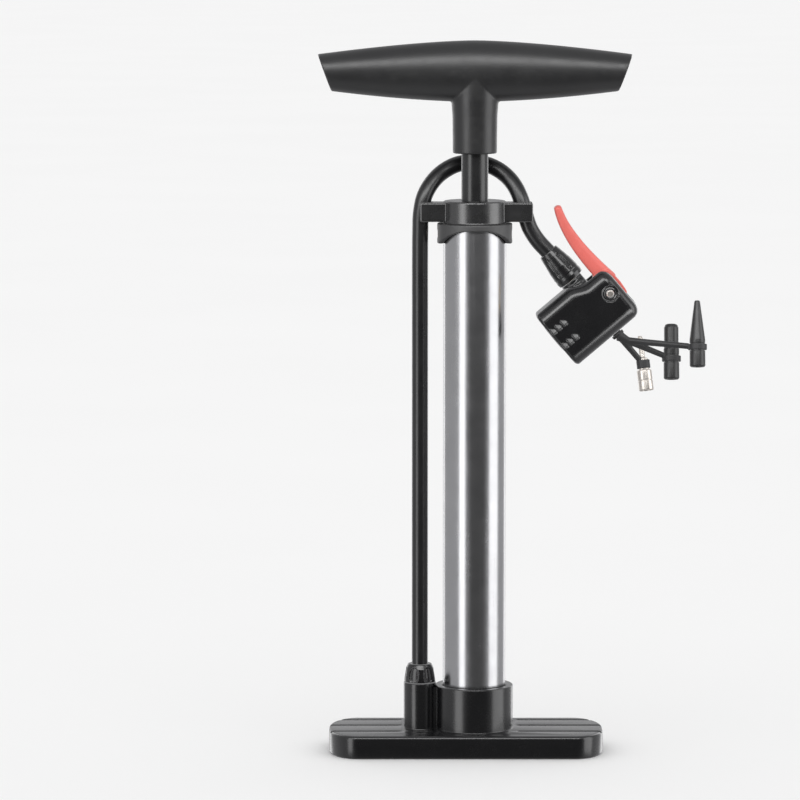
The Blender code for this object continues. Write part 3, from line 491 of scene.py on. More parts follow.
def foot_base():
    levels = [(0, 0.9), (0.15, 0.5), (0.5, 0.15), (1, 0)]
    for down, inset in ((1.9, 0), (1.2, 0.12), (0.7, 0.4), (0.35, 0.8), (0.12, 1.35), (0, 2.1)):
        levels.append((BASE_HEIGHT - down, inset))
    rings = []
    for z, inset in levels:
        outline = rounded_outline(
            BASE_HALF_X - inset, BASE_HALF_Y - inset, 15 - inset, 23 - inset, 20, (BASE_CENTRE_X, 0)
        )
        rings.append([(x, y, z) for x, y in outline])
    base = loft("foot_base_shell", rings)
    flat = BASE_HEIGHT - 0.1
    cup = ((0, 5, 0), (21.2, 5, 0), (21.2, flat, 0), (20, flat, 1.1), (20, CUP_TOP, 0.7), (0, CUP_TOP, 0))
    boss = ((0, 5, 0), (9.1, 5, 0), (9.1, flat, 0), (8.3, flat, 0.7), (8.3, BOSS_TOP, 0.5), (0, BOSS_TOP, 0))
    web = block("web", (BOSS_X, -4.5, 5), (-17, 4.5, CUP_TOP - 1))
    join(
        base,
        lathe("cup", softened(cup, closed=False), 128),
        moved(lathe("boss", softened(boss, closed=False), 72), (BOSS_X, 0, 0)),
        web,
    )
    socket = (
        (0, 12, 0), (16.3, 12, 0), (16.3, CUP_TOP - 0.7, 0), (17.4, CUP_TOP + 0.4, 0), (17.4, 40, 0),
        (0, 40, 0),
    )
    tools = [
        lathe("socket", softened(socket, closed=False), 128),
        drum("shelf", 6.3, 9.1, 17, 48),
        drum("valve_bore", 3.6, 2, 10.1, 32),
        block("cover_recess", (-40.3, -9.3, -5), (14.3, 9.3, 3.3)),
        block("air_channel", (BOSS_X - 2, -2.2, 2), (0, 2.2, 6.5)),
    ]
    for radius, bottom, top in ((1.6, 5.5, 24), (4.6, 22, 32), (5.8, 30, 40)):
        tools.append(moved(drum("tail_bore", radius, bottom, top, 40), (BOSS_X, 0, 0)))
    for x in COVER_SCREW_XS:
        for y in COVER_SCREW_YS:
            tools.append(moved(drum("screw_hole", 1.5, 2, 8.7, 24), (x, y, 0)))
    pockets = ((-67, -44, 2, 20), (19, 58, 2, 20), (-40, 15, 12.5, 24))
    for low_x, high_x, low_y, high_y in pockets:
        for side in (-1, 1):
            ys = sorted((side * low_y, side * high_y))
            tools.append(pocket(low_x, high_x, *ys))
    for y in GROOVE_YS:
        tools.append(groove(y, -37, -90))
        tools.append(groove(y, 22, 90))
    return piece(cut(base, *tools), "frame", "black_gloss", "foot_base")


def pocket(low_x, high_x, low_y, high_y):
    """A hollow under the plate, with rounded corners and a drafted roof."""
    centre = ((low_x + high_x) / 2, (low_y + high_y) / 2)
    half = ((high_x - low_x) / 2, (high_y - low_y) / 2)
    rings = []
    for z, inset in ((-3, -0.2), (7, 0.2), (7.7, 0.5), (8, 1.2)):
        corner = 2.4 - inset
        outline = rounded_outline(half[0] - inset, half[1] - inset, corner, corner, 5, centre)
        rings.append([(x, y, z) for x, y in outline])
    return loft("pocket", rings)


def groove(y, inner, outer):
    """A grip groove: rounded over at its lips, round at its inner end, and open at the plate's edge."""
    section = softened(
        ((-2.6, 3, 0), (-2.6, 0.02, 0), (-1.6, 0, 0.5), (-1.35, -1, 0.4), (1.35, -1, 0.4), (1.6, 0, 0.5),
         (2.6, 0.02, 0), (2.6, 3, 0)), steps=4,
    )
    out = 1 if outer > inner else -1
    stations = ((0, 0.05), (0.3, 0.5), (0.9, 0.8), (1.8, 0.97), (2.8, 1))
    stations = [(inner + out * reach, share) for reach, share in stations] + [(outer, 1)]
    rings = []
    for x, share in stations:
        rings.append([(x, y + a * share, BASE_HEIGHT + (b * share if b < 0 else b)) for a, b in section])
    return loft("groove", rings)


def hose_nut_base():
    """A domed nut with six panels sunk in its side, each round at its top."""
    profile = softened(
        ((HOSE_BORE, 31, 0), (5.4, 31, 0), (5.4, 35.7, 0), (8, 35.7, 0.25), (8, 38.2, 2), (7.2, 42.6, 2.5),
         (5.9, 45, 0.7), (HOSE_BORE, 45, 0.3)), steps=8,
    )
    profile = refined(profile, 0.3)

    def panel(angle, radius, height):
        if radius < 5.9:
            return radius
        side = abs((angle * 6 / (2 * pi) + 0.42) % 1 - 0.5) * 2 * pi / 6 * radius
        up = max(0, height - 40.6)
        down = max(0, 38.2 - height)
        return radius - 0.6 * step_down(hypot(side, up * 0.9, down) - 2.2, 0.5)

    nut = lathe("hose_nut_base_shell", profile, 160, panel)
    return piece(moved(nut, (BOSS_X, 0, 0)), "frame", "black_gloss", "hose_nut_base", flat_angle=50)


def step_down(value, width):
    """1 below zero, falling smoothly to 0 over width."""
    share = min(max(value / width, 0), 1)
    return 1 - share * share * (3 - 2 * share)


def refined(profile, step):
    """The same closed profile with points no further apart than step."""
    made = []
    for (r0, z0), (r1, z1) in zip(profile, profile[1:] + profile[:1]):
        parts = max(1, int(hypot(r1 - r0, z1 - z0) / step))
        for k in range(parts):
            t = k / parts
            made.append((r0 + (r1 - r0) * t, z0 + (z1 - z0) * t))
    return made


# ---------------------------------------------------------------- barrel and top cap


def barrel():
    profile = softened(
        ((BARREL_BORE, BARREL_LOW, 0.2), (BARREL_RADIUS, BARREL_LOW, 0.2), (BARREL_RADIUS, BARREL_HIGH, 0.25),
         (BARREL_BORE, BARREL_HIGH, 0.25))
    )
    body = lathe("barrel_tube", profile, 160)
    for side in (-1, 1):
        cut(body, along_x(drum("hole", PRONG_HOLE, -3, 3, 24), (side * BARREL_RADIUS, 0, PRONG_SCREW_Z)))
    return piece(body, "frame", "aluminium", "barrel")


def top_cap():
    corners = (
        (8.8, 262, 0.2), (14.4, 262, 0.3), (14.4, 270.5, 0), (16.3, 270.5, 0), (16.3, SKIRT_LOW, 0.15),
        (19.1, SKIRT_LOW, 0.3), (19.1, 271.6, 0.6), (16.15, 271.6, 0.3), (16, 282.6, 0.9),
        (15.2, CAP_TOP, 0.5), (7.2, CAP_TOP, 0.3), (7.2, 281.4, 0), (8.8, 281.4, 0),
    )
    cap = lathe("top_cap_shell", softened(corners), 128)
    join(cap, ear(BOSS_X, -14), ear(14, 29.5))
    clip = HOSE_DIAMETER / 2 + 1.1
    left_low = Vector((BOSS_X, 0, 267.4))
    left_high = Vector((BOSS_X + 2, 1.6, 286.2))
    left_way = tube_along("left_way", (left_low, left_high), (clip, clip + 0.6), 64)
    right_low = Vector((28.4, 0, 268))
    right_high = Vector((22.9, 0.6, 286))
    right_way = tube_along("right_way", (right_low, right_high), (clip, clip + 0.5), 64)
    mouth = slab(
        "mouth",
        [(right_low.x, right_low.z), (45, right_low.z), (45, right_high.z), (right_high.x, right_high.z)],
        -clip,
        clip,
    )
    tools = [arch(1), arch(-1), left_way, right_way, mouth]
    for side in (-1, 1):
        ends = sorted((0, side * 10))
        tools.append(along_x(drum("hole", PRONG_HOLE, *ends, 24), (15 * side, 0, PRONG_SCREW_Z)))
        tools.append(along_x(drum("seat", 2.5, *ends, 32), (17.9 * side, 0, PRONG_SCREW_Z)))
    cut(cap, *tools)
    reskinned(cap, 0.34, 3)
    return piece(cap, "frame", "black_gloss", "top_cap", flat_angle=None, look="cap_gloss")


def arch(side):
    """The opening in the skirt's front or back: radial cheeks that lean together into a flat crown.

    Each level is a height and half the angle that the opening spans there, in degrees.
    """
    levels = (
        (254, 75), (261.4, 75), (262.8, 66), (264.4, 56), (266, 45), (267.4, 32), (268.2, 22), (268.4, 18),
    )
    rings = []
    for z, half in levels:
        angles = [radians(-90 * side + half * (k / 16 - 1)) for k in range(33)]
        ring = [(24 * cos(a), 24 * sin(a), z) for a in angles]
        ring += [(15.4 * cos(a), 15.4 * sin(a), z) for a in reversed(angles)]
        rings.append(ring)
    return loft("arch", rings)


def ear(low_x, high_x):
    half = (EAR_HIGH - EAR_LOW) / 2
    outline = rounded_outline((high_x - low_x) / 2, half, 0.9, 0.9, 4, ((low_x + high_x) / 2, EAR_LOW + half))
    return slab("ear", outline, -6.4, 6.4, 0.5)


def screw(name, body, head_radius, head_height, shank_radius, length, place, turn):
    """A pan head screw standing on its head, with a cross recess and a threaded shank."""
    corners = [(0, 0, 0), (0.8 * head_radius, 0, 0.3), (head_radius, 0.45 * head_height, 0.3)]
    corners += [(head_radius, head_height, 0.1), (shank_radius, head_height, 0)]
    z = head_height + 0.3
    while z < length - 1.4:
        corners += [(shank_radius, z, 0), (0.82 * shank_radius, z + 0.25, 0)]
        z += 0.5
    corners += [(shank_radius * 0.9, length - 1, 0), (0, length, 0)]
    made = lathe(f"{name}_shell", softened(corners, closed=False), 40)
    arm = 0.16 * head_radius
    reach = 0.55 * head_radius
    deep = 0.55 * head_height
    cut(
        made,
        block("slot", (-reach, -arm, -1), (reach, arm, deep)),
        block("slot", (-arm, -reach, -1), (arm, reach, deep)),
    )
    return piece(moved(made, place, turn), body, "steel", name)


# ---------------------------------------------------------------- plunger


def bar_ring(x, wall=0.0, sides=72):
    """One section of the handle bar at x. The end sections lean outwards at the top."""
    reach = abs(x) / BAR_HALF_X
    bow = reach**1.6
    top = 364.2 - 7 * bow - wall
    bottom = 333 + 5.5 * bow + wall
    half_y = 12.2 - 2.6 * bow - wall
    middle = (top + bottom) / 2
    half_z = (top - bottom) / 2
    lean = 0.37 * reach**3 * (1 if x > 0 else -1)
    ring = []
    for i in range(sides):
        angle = 2 * pi * i / sides
        y = half_y * abs(cos(angle)) ** 0.88 * (1 if cos(angle) >= 0 else -1)
        z = middle + half_z * abs(sin(angle)) ** 0.88 * (1 if sin(angle) >= 0 else -1)
        ring.append((x + lean * (z - middle), y, z))
    return ring


def handle_grip():
    stations = [BAR_HALF_X * i / 32 for i in range(-32, 33)]
    bar = loft("handle_grip_shell", [bar_ring(x) for x in stations])
    stem = (
        (0, STEM_LOW, 0), (STEM_RADIUS, STEM_LOW, 0.4), (STEM_RADIUS + 0.2, 326, 3),
        (STEM_RADIUS + 0.8, 334, 3), (STEM_RADIUS + 0.8, 346, 1), (STEM_RADIUS - 0.6, 350, 1), (0, 352, 0),
    )
    join(bar, lathe("stem", softened(stem, closed=False, steps=8), 96))
    tools = [drum("rod_socket", ROD_RADIUS + 0.3, STEM_LOW - 5, 343.3, 64)]
    for side in (-1, 1):
        hollow = [bar_ring(side * x, 2.8) for x in (13, 20, 30, 38, 45, 52, 60, 65, 70)]
        hollow.append(bar_ring(side * (BAR_HALF_X + 12), 2.8))
        tools.append(loft("hollow", hollow))
    tools.append(along_y(drum("screw_hole", HANDLE_SCREW_HOLE, 3, 20, 32), (0, 0, HANDLE_SCREW_Z)))
    tools.append(along_y(drum("screw_seat", 3.4, 9, 20, 40), (0, 0, HANDLE_SCREW_Z)))
    cut(bar, *tools)
    reskinned(bar, 0.5, 3)
    return piece(bar, "plunger", "black_satin", "handle_grip", flat_angle=None)


def handle_end_plug(name, side):
    """A plug in the open end of the bar, with a shallow dish in its face."""
    rings = [bar_ring(side * x, 3.15, 64) for x in (BAR_HALF_X - 8, BAR_HALF_X - 4)]
    for back, inset in ((0.9, 3.15), (0.5, 3.3), (0.4, 3.7), (0.4, 4.6), (0.6, 4.9), (1.0, 5.1), (1.1, 5.6)):
        rings.append(bar_ring(side * (BAR_HALF_X - back), inset, 64))
    return piece(loft(f"{name}_shell", rings), "plunger", "black_satin", name)


def piston_rod():
    corners = (
        (0, 12.4, 0), (2.5, 12.4, 0.3), (2.5, 35.3, 0), (ROD_RADIUS, 35.3, 0.3),
        (ROD_RADIUS, 343, 0.8), (0, 343, 0),
    )
    rod = lathe("piston_rod_shell", softened(corners, closed=False), 96)
    cut(rod, along_y(drum("screw_hole", HANDLE_SCREW_HOLE, -3.4, 12, 32), (0, 0, HANDLE_SCREW_Z)))
    return piece(rod, "plunger", "black_satin", "piston_rod", look="rod_gloss")


# ---------------------------------------------------------------- hose


def hose():
    """The hose: a smooth curve that passes through its route's points."""
    points = [Vector(p) * MM for p in HOSE_ROUTE]
    runs = [b - a for a, b in zip(points, points[1:])]
    before = [runs[0], *runs]
    after = [*runs, runs[-1]]
    curve = bpy.data.curves.new("air_hose", "CURVE")
    curve.dimensions = "3D"
    curve.bevel_depth = HOSE_DIAMETER / 2 * MM
    curve.bevel_resolution = 10
    curve.resolution_u = 10
    curve.use_fill_caps = True
    line = curve.splines.new("BEZIER")
    line.bezier_points.add(len(points) - 1)
    for point, place, last, following in zip(line.bezier_points, points, before, after):
        way = (last.normalized() * following.length + following.normalized() * last.length).normalized()
        point.co = place
        point.handle_left_type = "FREE"
        point.handle_right_type = "FREE"
        point.handle_left = place - way * last.length / 3
        point.handle_right = place + way * following.length / 3
    made = bpy.data.objects.new("air_hose", curve)
    bpy.context.scene.collection.objects.link(made)
    piece(made, "frame", "hose_rubber", "hose")
    return made


# ---------------------------------------------------------------- pump head


def head_matrix():
    return Matrix.Translation(PIN_PLACE) @ Matrix.Rotation(HEAD_TILT, 4, "Y")


def to_head(obj):
    obj.data.transform(head_matrix())
    return obj


def on_neck(obj):
    """Puts a shape made about Z on the neck's axis, its heights counted from the head's origin."""
    return moved(obj, (NECK_X, 0, 0))


def head_section(x, top, inset):
    half_z = (top - HEAD_BOTTOM) / 2 - inset
    half_y = HEAD_HALF_Y - inset
    corner = max(7 - inset, 2)
    outline = rounded_outline(half_y, half_z, corner, corner, 10, (0, (top + HEAD_BOTTOM) / 2))
    return [(x, y, z) for y, z in outline]


def pump_head():
    stations = [(-36.6, HEAD_TOP, 2), (-36.5, HEAD_TOP, 1.4), (-36.2, HEAD_TOP, 0.8), (-35.7, HEAD_TOP, 0.3)]
    stations += [(-35.1, HEAD_TOP, 0), (-25, HEAD_TOP, 0), (-16, HEAD_TOP, 0)]
    for i in range(1, 9):
        share = i / 8
        top = HEAD_TOP - (HEAD_TOP - HEAD_REAR_TOP) * share * share * (3 - 2 * share)
        stations.append((-16 + 11 * share, top, 0))
    rear = ((0, 0), (2.4, 0.1), (3.6, 0.5), (4.6, 1.2), (5.4, 2.2), (6, 3.4), (6.4, 4.8), (6.6, 6.4))
    for x, inset in rear:
        stations.append((x, HEAD_REAR_TOP, inset))
    head = loft("pump_head_shell", [head_section(*station) for station in stations])
    neck = ((0, 4, 0), (7.3, 4, 0), (7.3, 14.6, 0), (6.5, 15.6, 0.6), (6.5, 17.3, 0.2), (0, 17.3, 0))
    join(head, on_neck(lathe("neck", softened(neck, closed=False), 64)))
    pads = []
    for x in GRIP_PAD_XS:
        for z in GRIP_PAD_ZS:
            for side in (-1, 1):
                pads.append(grip_pad(x, z, side))
    join(head, *pads)
    tools = [
        along_x(drum("chamber", 7, -45, -10.9, 64)),
        along_x(drum("collar_bore", 9.5, -45, -31.3, 64)),
        along_x(drum("pusher_guide", 3, -20, -8, 40)),
        block("lever_slot", (-9.4, -6.5, -10.6), (20, 6.5, 8.5)),
        block("lever_way", (-5.2, -6.5, 5), (20, 6.5, 20)),
        on_neck(drum("tail_seat", 4.3, 9.5, 30, 40)),
        on_neck(drum("air_way", 1.5, 3, 12, 24)),
        along_y(drum("pin_hole", PIN_HOLE, -20, 20, 32)),
        moved(drum("plug_hole", 2.6, HEAD_BOTTOM - 5, HEAD_BOTTOM + 4.5, 32), (PLUG_X, 0, 0)),
    ]
    for side in (-1, 1):
        ys = sorted((side * (HEAD_HALF_Y - 0.9), side * (HEAD_HALF_Y + 4)))
        tools.append(along_y(drum("recess", 4.2, *ys, 64)))
    cut(head, *tools)
    bosses = []
    for side in (-1, 1):
        ring = softened(((2.0, 0, 0), (2.9, 0, 0), (2.9, 0.55, 0.2), (2.0, 0.55, 0.2)))
        low = side * (HEAD_HALF_Y - 1.1)
        made = lathe("pin_boss", ring, 48)
        bosses.append(moved(made, (0, low, 0), (-side * pi / 2, 0, 0)))
    join(head, *bosses)
    reskinned(head, 0.3, 3)
    return piece(to_head(head), "frame", "black_gloss", "pump_head", flat_angle=None)


def grip_pad(x, z, side):
    """A small grip pad on the head's cheek, whose face leans up towards the light."""
    up = Vector((-sin(HEAD_TILT), cos(HEAD_TILT)))
    rings = []
    for sunk, inset in ((1.6, 0), (0.2, 0), (0.05, 0.12), (0, 0.35)):
        outline = rounded_outline(1.3 - inset, 2 - inset, 0.6 - inset / 2, 0.6 - inset / 2, 4, (x, z))
        ring = []
        for a, b in outline:
            proud = 0.35 - 0.3 * up.dot(Vector((a - x, b - z)))
            ring.append((a, side * (HEAD_HALF_Y + proud - sunk), b))
        rings.append(ring)
    return loft("pad", rings)


def valve_collar():
    corners = ((7.8, -37, 0.2), (9.2, -36.6, 0.3), (9.2, -31.6, 0.1), (4.1, -31.6, 0.1))
    collar = along_x(lathe("valve_collar_shell", softened(corners), 96))
    return piece(to_head(collar), "frame", "black_gloss", "valve_collar")


def valve_grommet():
    corners = [(3.9, -31.2, 0.2), (6.7, -31.2, 0.3), (6.7, -22.3, 0.3), (3.9, -22.3, 0.2)]
    for x in (-24.2, -26.2, -28.2):
        corners += [(3.9, x + 0.7, 0.2), (4.3, x + 0.35, 0.2), (4.3, x - 0.35, 0.2), (3.9, x - 0.7, 0.2)]
    grommet = along_x(lathe("valve_grommet_shell", softened(corners, steps=2), 64))
    return piece(to_head(grommet), "frame", "black_rubber", "valve_grommet")


def hose_nut_head():
    """A tapered nut with six dark slots along it and a thin rim at each end."""
    profile = softened(
        ((HOSE_BORE, 17.6, 0.1), (7.0, 17.6, 0.3), (7.35, 19.6, 0.5), (7.1, 21.3, 0.3), (7.25, 21.9, 0.3),
         (6.9, 26.5, 4), (5.75, 33, 4), (5.25, 35.3, 0.3), (5.1, 35.8, 0.3), (HOSE_BORE, 35.8, 0.2)),
        steps=6,
    )
    profile = refined(profile, 0.35)

    def slotted(angle, radius, height):
        if radius < 5.15:
            return radius
        side = abs((angle * 6 / (2 * pi) + 0.5) % 1 - 0.5) * 2 * pi / 6 * radius
        along = max(0, abs(height - 27.8) - 4.2)
        return radius - 1.2 * step_down(hypot(side, along) - 0.7, 0.6)

    nut = lathe("hose_nut_head_shell", profile, 240, slotted)
    return piece(to_head(on_neck(nut)), "frame", "black_gloss", "hose_nut_head", flat_angle=None)


def lever():
    """A curved blade on a cam, whose radius grows evenly round its underside."""
    back = head_matrix().inverted()
    tip, bend, root = (back @ Vector(p) for p in LEVER_LINE)
    rings = []
    steps = 40
    for i in range(-4, steps + 1):
        t = max(i, 0) / steps
        place = tip * (1 - t) ** 2 + bend * 2 * t * (1 - t) + root * t**2
        way = ((bend - tip) * (1 - t) + (root - bend) * t).normalized()
        across = Vector((-way.z, 0, way.x))
        half = 1.95 + 2.35 * t
        width = 6.2 - 1.2 * (1 - t) ** 2
        if i < 0:
            share = -i / 4
            close = (1 - share**2) ** 0.5 if share < 1 else 0.25
            place = place - way * 1.3 * share
            half *= max(close, 0.3)
            width -= 2 * (1 - max(close, 0.3))
        outline = rounded_outline(width, half, min(1.6, half * 0.8), half * 0.8, 6)
        rings.append([place + Vector((0, y, 0)) + across * z for y, z in outline])
    blade = loft("lever_shell", rings)
    cam = []
    for i in range(17):
        angle = pi + pi / 2 * i / 16
        radius = 6 + 2 * i / 16
        cam.append((radius * cos(angle), radius * sin(angle)))
    rear = ((4.4, -7.6, 1), (7.2, -5, 2), (7.7, 0, 6), (7.6, 5, 4), (6.9, 10, 2), (-1.2, 12, 1), (-4.2, 7, 1))
    before = (cam[-1][0], cam[-1][1], 0)
    after = (cam[0][0], cam[0][1], 0)
    cam += softened((before, *rear, after), closed=False, steps=5)[1:-1]
    join(blade, slab("cam", cam, -6.2, 6.2))
    cut(blade, along_y(drum("pin_hole", PIN_HOLE, -20, 20, 40)))
    reskinned(blade, 0.3, 3)
    return piece(to_head(blade), "lever", "coral_red", "lever", flat_angle=None)


def lever_pin():
    end = 11
    corners = ((0, -end, 0), (1.7, -end, 0.45), (1.7, end, 0.45), (0, end, 0))
    pin = along_y(lathe("lever_pin_shell", softened(corners, closed=False, steps=6), 48))
    return piece(to_head(pin), "frame", "steel", "lever_pin")


# ---------------------------------------------------------------- adapters


def adapter_matrix(name):
    place, back, side = ADAPTERS[name]
    return Matrix.Translation(place) @ Euler((-back, side, 0)).to_matrix().to_4x4()


def adapter(name, body, slot, corners):
    """An adapter turned from a closed profile."""
    made = lathe(f"{name}_shell", softened(corners, steps=4), 64)
    made.data.transform(adapter_matrix(name))
    return piece(made, body, slot, name)


def adapters():
    adapter(
        "cone_nozzle", "cone", "black_satin",
        ((2.6, -10.2, 0.15), (3.5, -10.2, 0.3), (4, -9.6, 0.4), (4, -2.2, 0.1), (3.75, -1.9, 0.1),
         (3.75, 1.9, 0.1), (4, 2.2, 0.1), (4, 3.8, 3), (1.45, 23.3, 0.5), (1.1, 23.8, 0.2), (0.7, 23.8, 0.1),
         (0.7, 9, 0), (2.6, 1, 0)),
    )
    adapter(
        "valve_adapter", "adapter", "black_satin",
        ((2.6, -10.6, 0.15), (3.5, -10.6, 0.3), (4, -9.9, 0.4), (4, -2.2, 0.1), (3.8, -1.9, 0.1),
         (3.8, 1.9, 0.1), (4, 2.2, 0.1), (4, 5, 0.3), (3.7, 5.4, 0.3), (3.7, 15.9, 0.8), (3.1, 17.4, 0.6),
         (2.2, 17.8, 0.2), (1.9, 17.8, 0.1), (1.9, 4, 0), (2.6, 2, 0)),
    )
    adapter(
        "ball_needle", "needle", "steel",
        ((2.5, -13.6, 0.15), (3.4, -13.6, 0.3), (3.8, -13, 0.4), (3.8, -8.6, 0.1), (3.65, -8.4, 0.1),
         (3.65, -8.1, 0.1), (3.8, -7.9, 0.1), (3.8, -3.3, 0.4), (3.2, -2.7, 0.1), (2.6, -2.7, 0),
         (2.6, 2.8, 0.3), (1.4, 3.8, 0.3), (1.4, 13.4, 0.4), (0.9, 14.6, 0.2), (0.5, 14.6, 0), (0.5, -4.5, 0),
         (2.5, -5.5, 0)),
    )


def adapter_holder():
    """A rubber fork: a plug in the head, and three arms that end in rings."""
    turn = head_matrix()
    low = (turn.inverted() @ ARM_ROOT).z - 1.2
    plug_top = turn @ Vector((PLUG_X, 0, HEAD_BOTTOM + 4))
    mouth = turn @ Vector((PLUG_X, 0, HEAD_BOTTOM - 0.9))
    foot = turn @ Vector((PLUG_X, 0, low))
    near = mouth + (foot - mouth) * 0.1
    parts = [
        tube_along("plug", (foot, plug_top), (2.3, 2.3), 32),
        tube_along("pad", (foot, near), (3.2, 3.4), 32),
        tube_along("fork", (foot, foot.lerp(ARM_FORK, 0.5), ARM_FORK), (2.8, 2.3, 2.0), 24),
    ]
    starts = {"cone_nozzle": ARM_FORK, "valve_adapter": ARM_FORK, "ball_needle": foot}
    for name, (place, _, _) in ADAPTERS.items():
        reach, half = (2.6, 2.2) if name == "ball_needle" else (4, 1.5)
        way = (place - starts[name]).normalized()
        start = starts[name] - way
        end = place - way * (reach + 0.5)
        parts.append(tube_along("arm", (start, start.lerp(end, 0.3), end), (1.9, 1.65, 1.5), 24))
        inner = reach + 0.12
        outer = reach + 0.85
        corners = ((inner, -half, 0.1), (outer, -half, 0.5), (outer, half, 0.5), (inner, half, 0.1))
        ring = lathe("ring", softened(corners), 64)
        ring.data.transform(adapter_matrix(name))
        parts.append(ring)
    holder = gathered("adapter_holder_shell", parts)
    reskinned(holder, 0.22, 1)
    return piece(holder, "frame", "black_rubber", "adapter_holder", flat_angle=None)


# ---------------------------------------------------------------- CAD nodes that stay


def keep_nodes():
    slots = {
        "black_gloss": ("channel_cover",),
        "black_rubber": ("channel_gasket", "barrel_seal", "check_valve_ball", "cup_seal", "stop_bumper"),
        "grey_plastic": ("check_valve_seat", "rod_bush", "piston_body"),
        "steel": ("check_valve_spring", "piston_washer", "piston_nut"),
        "brass": ("hose_tail_base", "hose_tail_head", "valve_pusher"),
    }
    for slot, nodes in slots.items():
        for node in nodes:
            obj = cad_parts[node]
            for part in obj.material_slots:
                part.material = FINISHES[slot]


# ---------------------------------------------------------------- the pump


def pump():
    hose()
    foot_base()
    hose_nut_base()
    barrel()
    top_cap()
    handle_grip()
    handle_end_plug("handle_plug_left", -1)
    handle_end_plug("handle_plug_right", 1)
    piston_rod()
    pump_head()
    valve_collar()
    valve_grommet()
    hose_nut_head()
    lever()
    lever_pin()
    adapters()
    adapter_holder()
    for name, side in (("left", -1), ("right", 1)):
        place = (18.9 * side, 0, PRONG_SCREW_Z)
        screw(f"cap_screw_{name}", "frame", 2.1, 0.9, 1.1, 3.2, place, (0, -side * pi / 2, 0))
    screw("handle_screw", "plunger", 3, 2.3, 1.6, 13.5, (0, 11.7, HANDLE_SCREW_Z), (pi / 2, 0, 0))
    number = 1
    for x in COVER_SCREW_XS:
        for y in COVER_SCREW_YS:
            screw(f"cover_screw_{number}", "frame", 2.3, 0.9, 1.2, 8.1, (x, y, 0.2), (0, 0, 0))
            number += 1
    keep_nodes()


# ---------------------------------------------------------------- studio


def floor():
    half = 20
    points = [(-half, -half, 0), (half, -half, 0), (half, half, 0), (-half, half, 0)]
    mesh = bpy.data.meshes.new("floor")
    mesh.from_pydata(points, [], [(0, 1, 2, 3)])
    made = bpy.data.objects.new("floor", mesh)
    bpy.context.scene.collection.objects.link(made)
    made.visible_glossy = False
    paper = bpy.data.materials.new("pale_floor")
    paper.use_nodes = True
    tree = paper.node_tree
    shader = tree.nodes["Principled BSDF"]
    cloud = noise(tree, stretched(tree, 1, 1, 1), 3, 2, 0.5)
    tones = ((0.3, (0.925, 0.925, 0.925)), (0.7, (0.935, 0.935, 0.935)))
    tree.links.new(ramp(tree, cloud, tones), shader.inputs["Base Color"])
    shader.inputs["Roughness"].default_value = 0.9
    shader.inputs["Specular IOR Level"].default_value = 0.1
    mesh.materials.append(paper)


def softbox(name, azimuth, elevation, distance, width, height, radiance, lit="lit_by_softboxes"):
    """A soft light that faces the barrel's middle and reaches only the collection named lit.

    Azimuth 0 is the camera's side, and it grows to the right. Lengths are in metres.
    """
    light = bpy.data.lights.new(name, "AREA")
    light.shape = "RECTANGLE"
    light.size = width
    light.size_y = height
    light.energy = radiance * pi * width * height
    made = bpy.data.objects.new(name, light)
    bpy.context.scene.collection.objects.link(made)
    a = radians(azimuth)
    e = radians(elevation)
    away = Vector((sin(a) * cos(e), -cos(a) * cos(e), sin(e)))
    made.location = LIGHT_TARGET + away * distance
    made.rotation_euler = (-away).to_track_quat("-Z", "Y").to_euler()
    made.light_linking.receiver_collection = bpy.data.collections[lit]


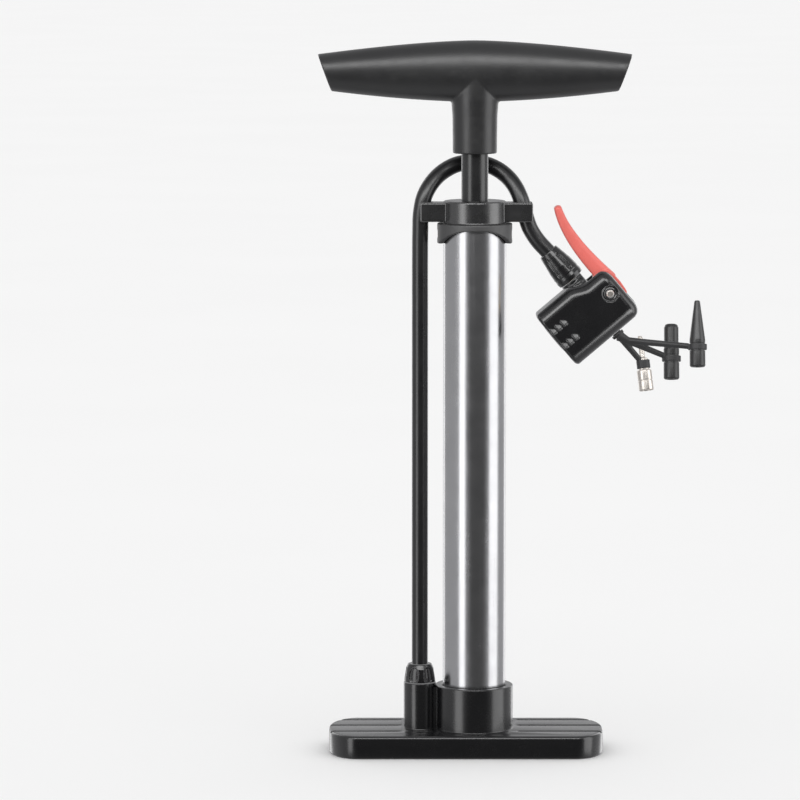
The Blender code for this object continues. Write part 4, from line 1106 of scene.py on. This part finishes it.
def surroundings():
    """Even pale light for matt surfaces, and for gloss a grey room that is dark on the camera's side."""
    world = bpy.data.worlds.new("studio")
    world.use_nodes = True
    tree = world.node_tree
    for node in list(tree.nodes):
        tree.nodes.remove(node)
    way = add(tree, "ShaderNodeTexCoord").outputs["Generated"]
    front = add(tree, "ShaderNodeVectorMath", {"operation": "DOT_PRODUCT"})
    tree.links.new(way, front.inputs[0])
    front.inputs[1].default_value = Vector((0.17, -1, 0)).normalized()
    dark = (0.10, 0.10, 0.10)
    grey = (0.58, 0.58, 0.59)
    room = ramp(tree, front.outputs["Value"], ((0.62, grey), (0.9, dark)))
    gloss = add(tree, "ShaderNodeBackground", Color=room, Strength=1.0).outputs[0]
    matt = add(tree, "ShaderNodeBackground", Color=(1, 1, 1, 1), Strength=1.0).outputs[0]
    ray = add(tree, "ShaderNodeLightPath")
    mixed = add(tree, "ShaderNodeMixShader")
    tree.links.new(ray.outputs["Is Glossy Ray"], mixed.inputs[0])
    tree.links.new(matt, mixed.inputs[1])
    tree.links.new(gloss, mixed.inputs[2])
    out = add(tree, "ShaderNodeOutputWorld")
    tree.links.new(mixed.outputs[0], out.inputs[0])
    bpy.context.scene.world = world


def camera():
    lens = bpy.data.cameras.new("camera")
    lens.lens = 206.6
    lens.sensor_width = 36
    lens.clip_start = 0.1
    lens.clip_end = 100
    made = bpy.data.objects.new("camera", lens)
    bpy.context.scene.collection.objects.link(made)
    tilt = radians(6.343)
    target = Vector((-0.038, 0, 0.181))
    made.location = target + Vector((0, -cos(tilt), sin(tilt))) * 2.344
    made.rotation_euler = (pi / 2 - tilt, 0, 0)
    bpy.context.scene.camera = made


def share_light():
    """Hides the hose's end of the pump from mirror rays, and says what each kind of softbox lights.

    The main softboxes light everything but the floor. The fill light lights the pump head alone.
    """
    for name in UNMIRRORED:
        bpy.data.objects[name].visible_glossy = False
    lit = bpy.data.collections.new("lit_by_softboxes")
    lit.objects.link(bpy.data.objects["floor"])
    lit.collection_objects[0].light_linking.link_state = "EXCLUDE"
    head = bpy.data.collections.new("lit_from_below")
    head.objects.link(bpy.data.objects["pump_head_shell"])


pump()
floor()
share_light()
surroundings()
softbox("strip_left", -46, 4, 1.1, 0.46, 1.3, 2.3)
softbox("strip_right", 75, 4, 1.1, 0.8, 1.3, 1.9)
softbox("strip_back_left", -150, 4, 1.2, 0.4, 1.3, 1.2)
softbox("strip_back_right", 150, 4, 1.2, 0.4, 1.3, 1.2)
softbox("key", 0, 36, 1.0, 1.2, 0.34, 5.5)
softbox("head_fill", 50, -18, 0.45, 0.25, 0.2, 5, "lit_from_below")
camera()
bpy.context.scene.view_settings.view_transform = "Standard"
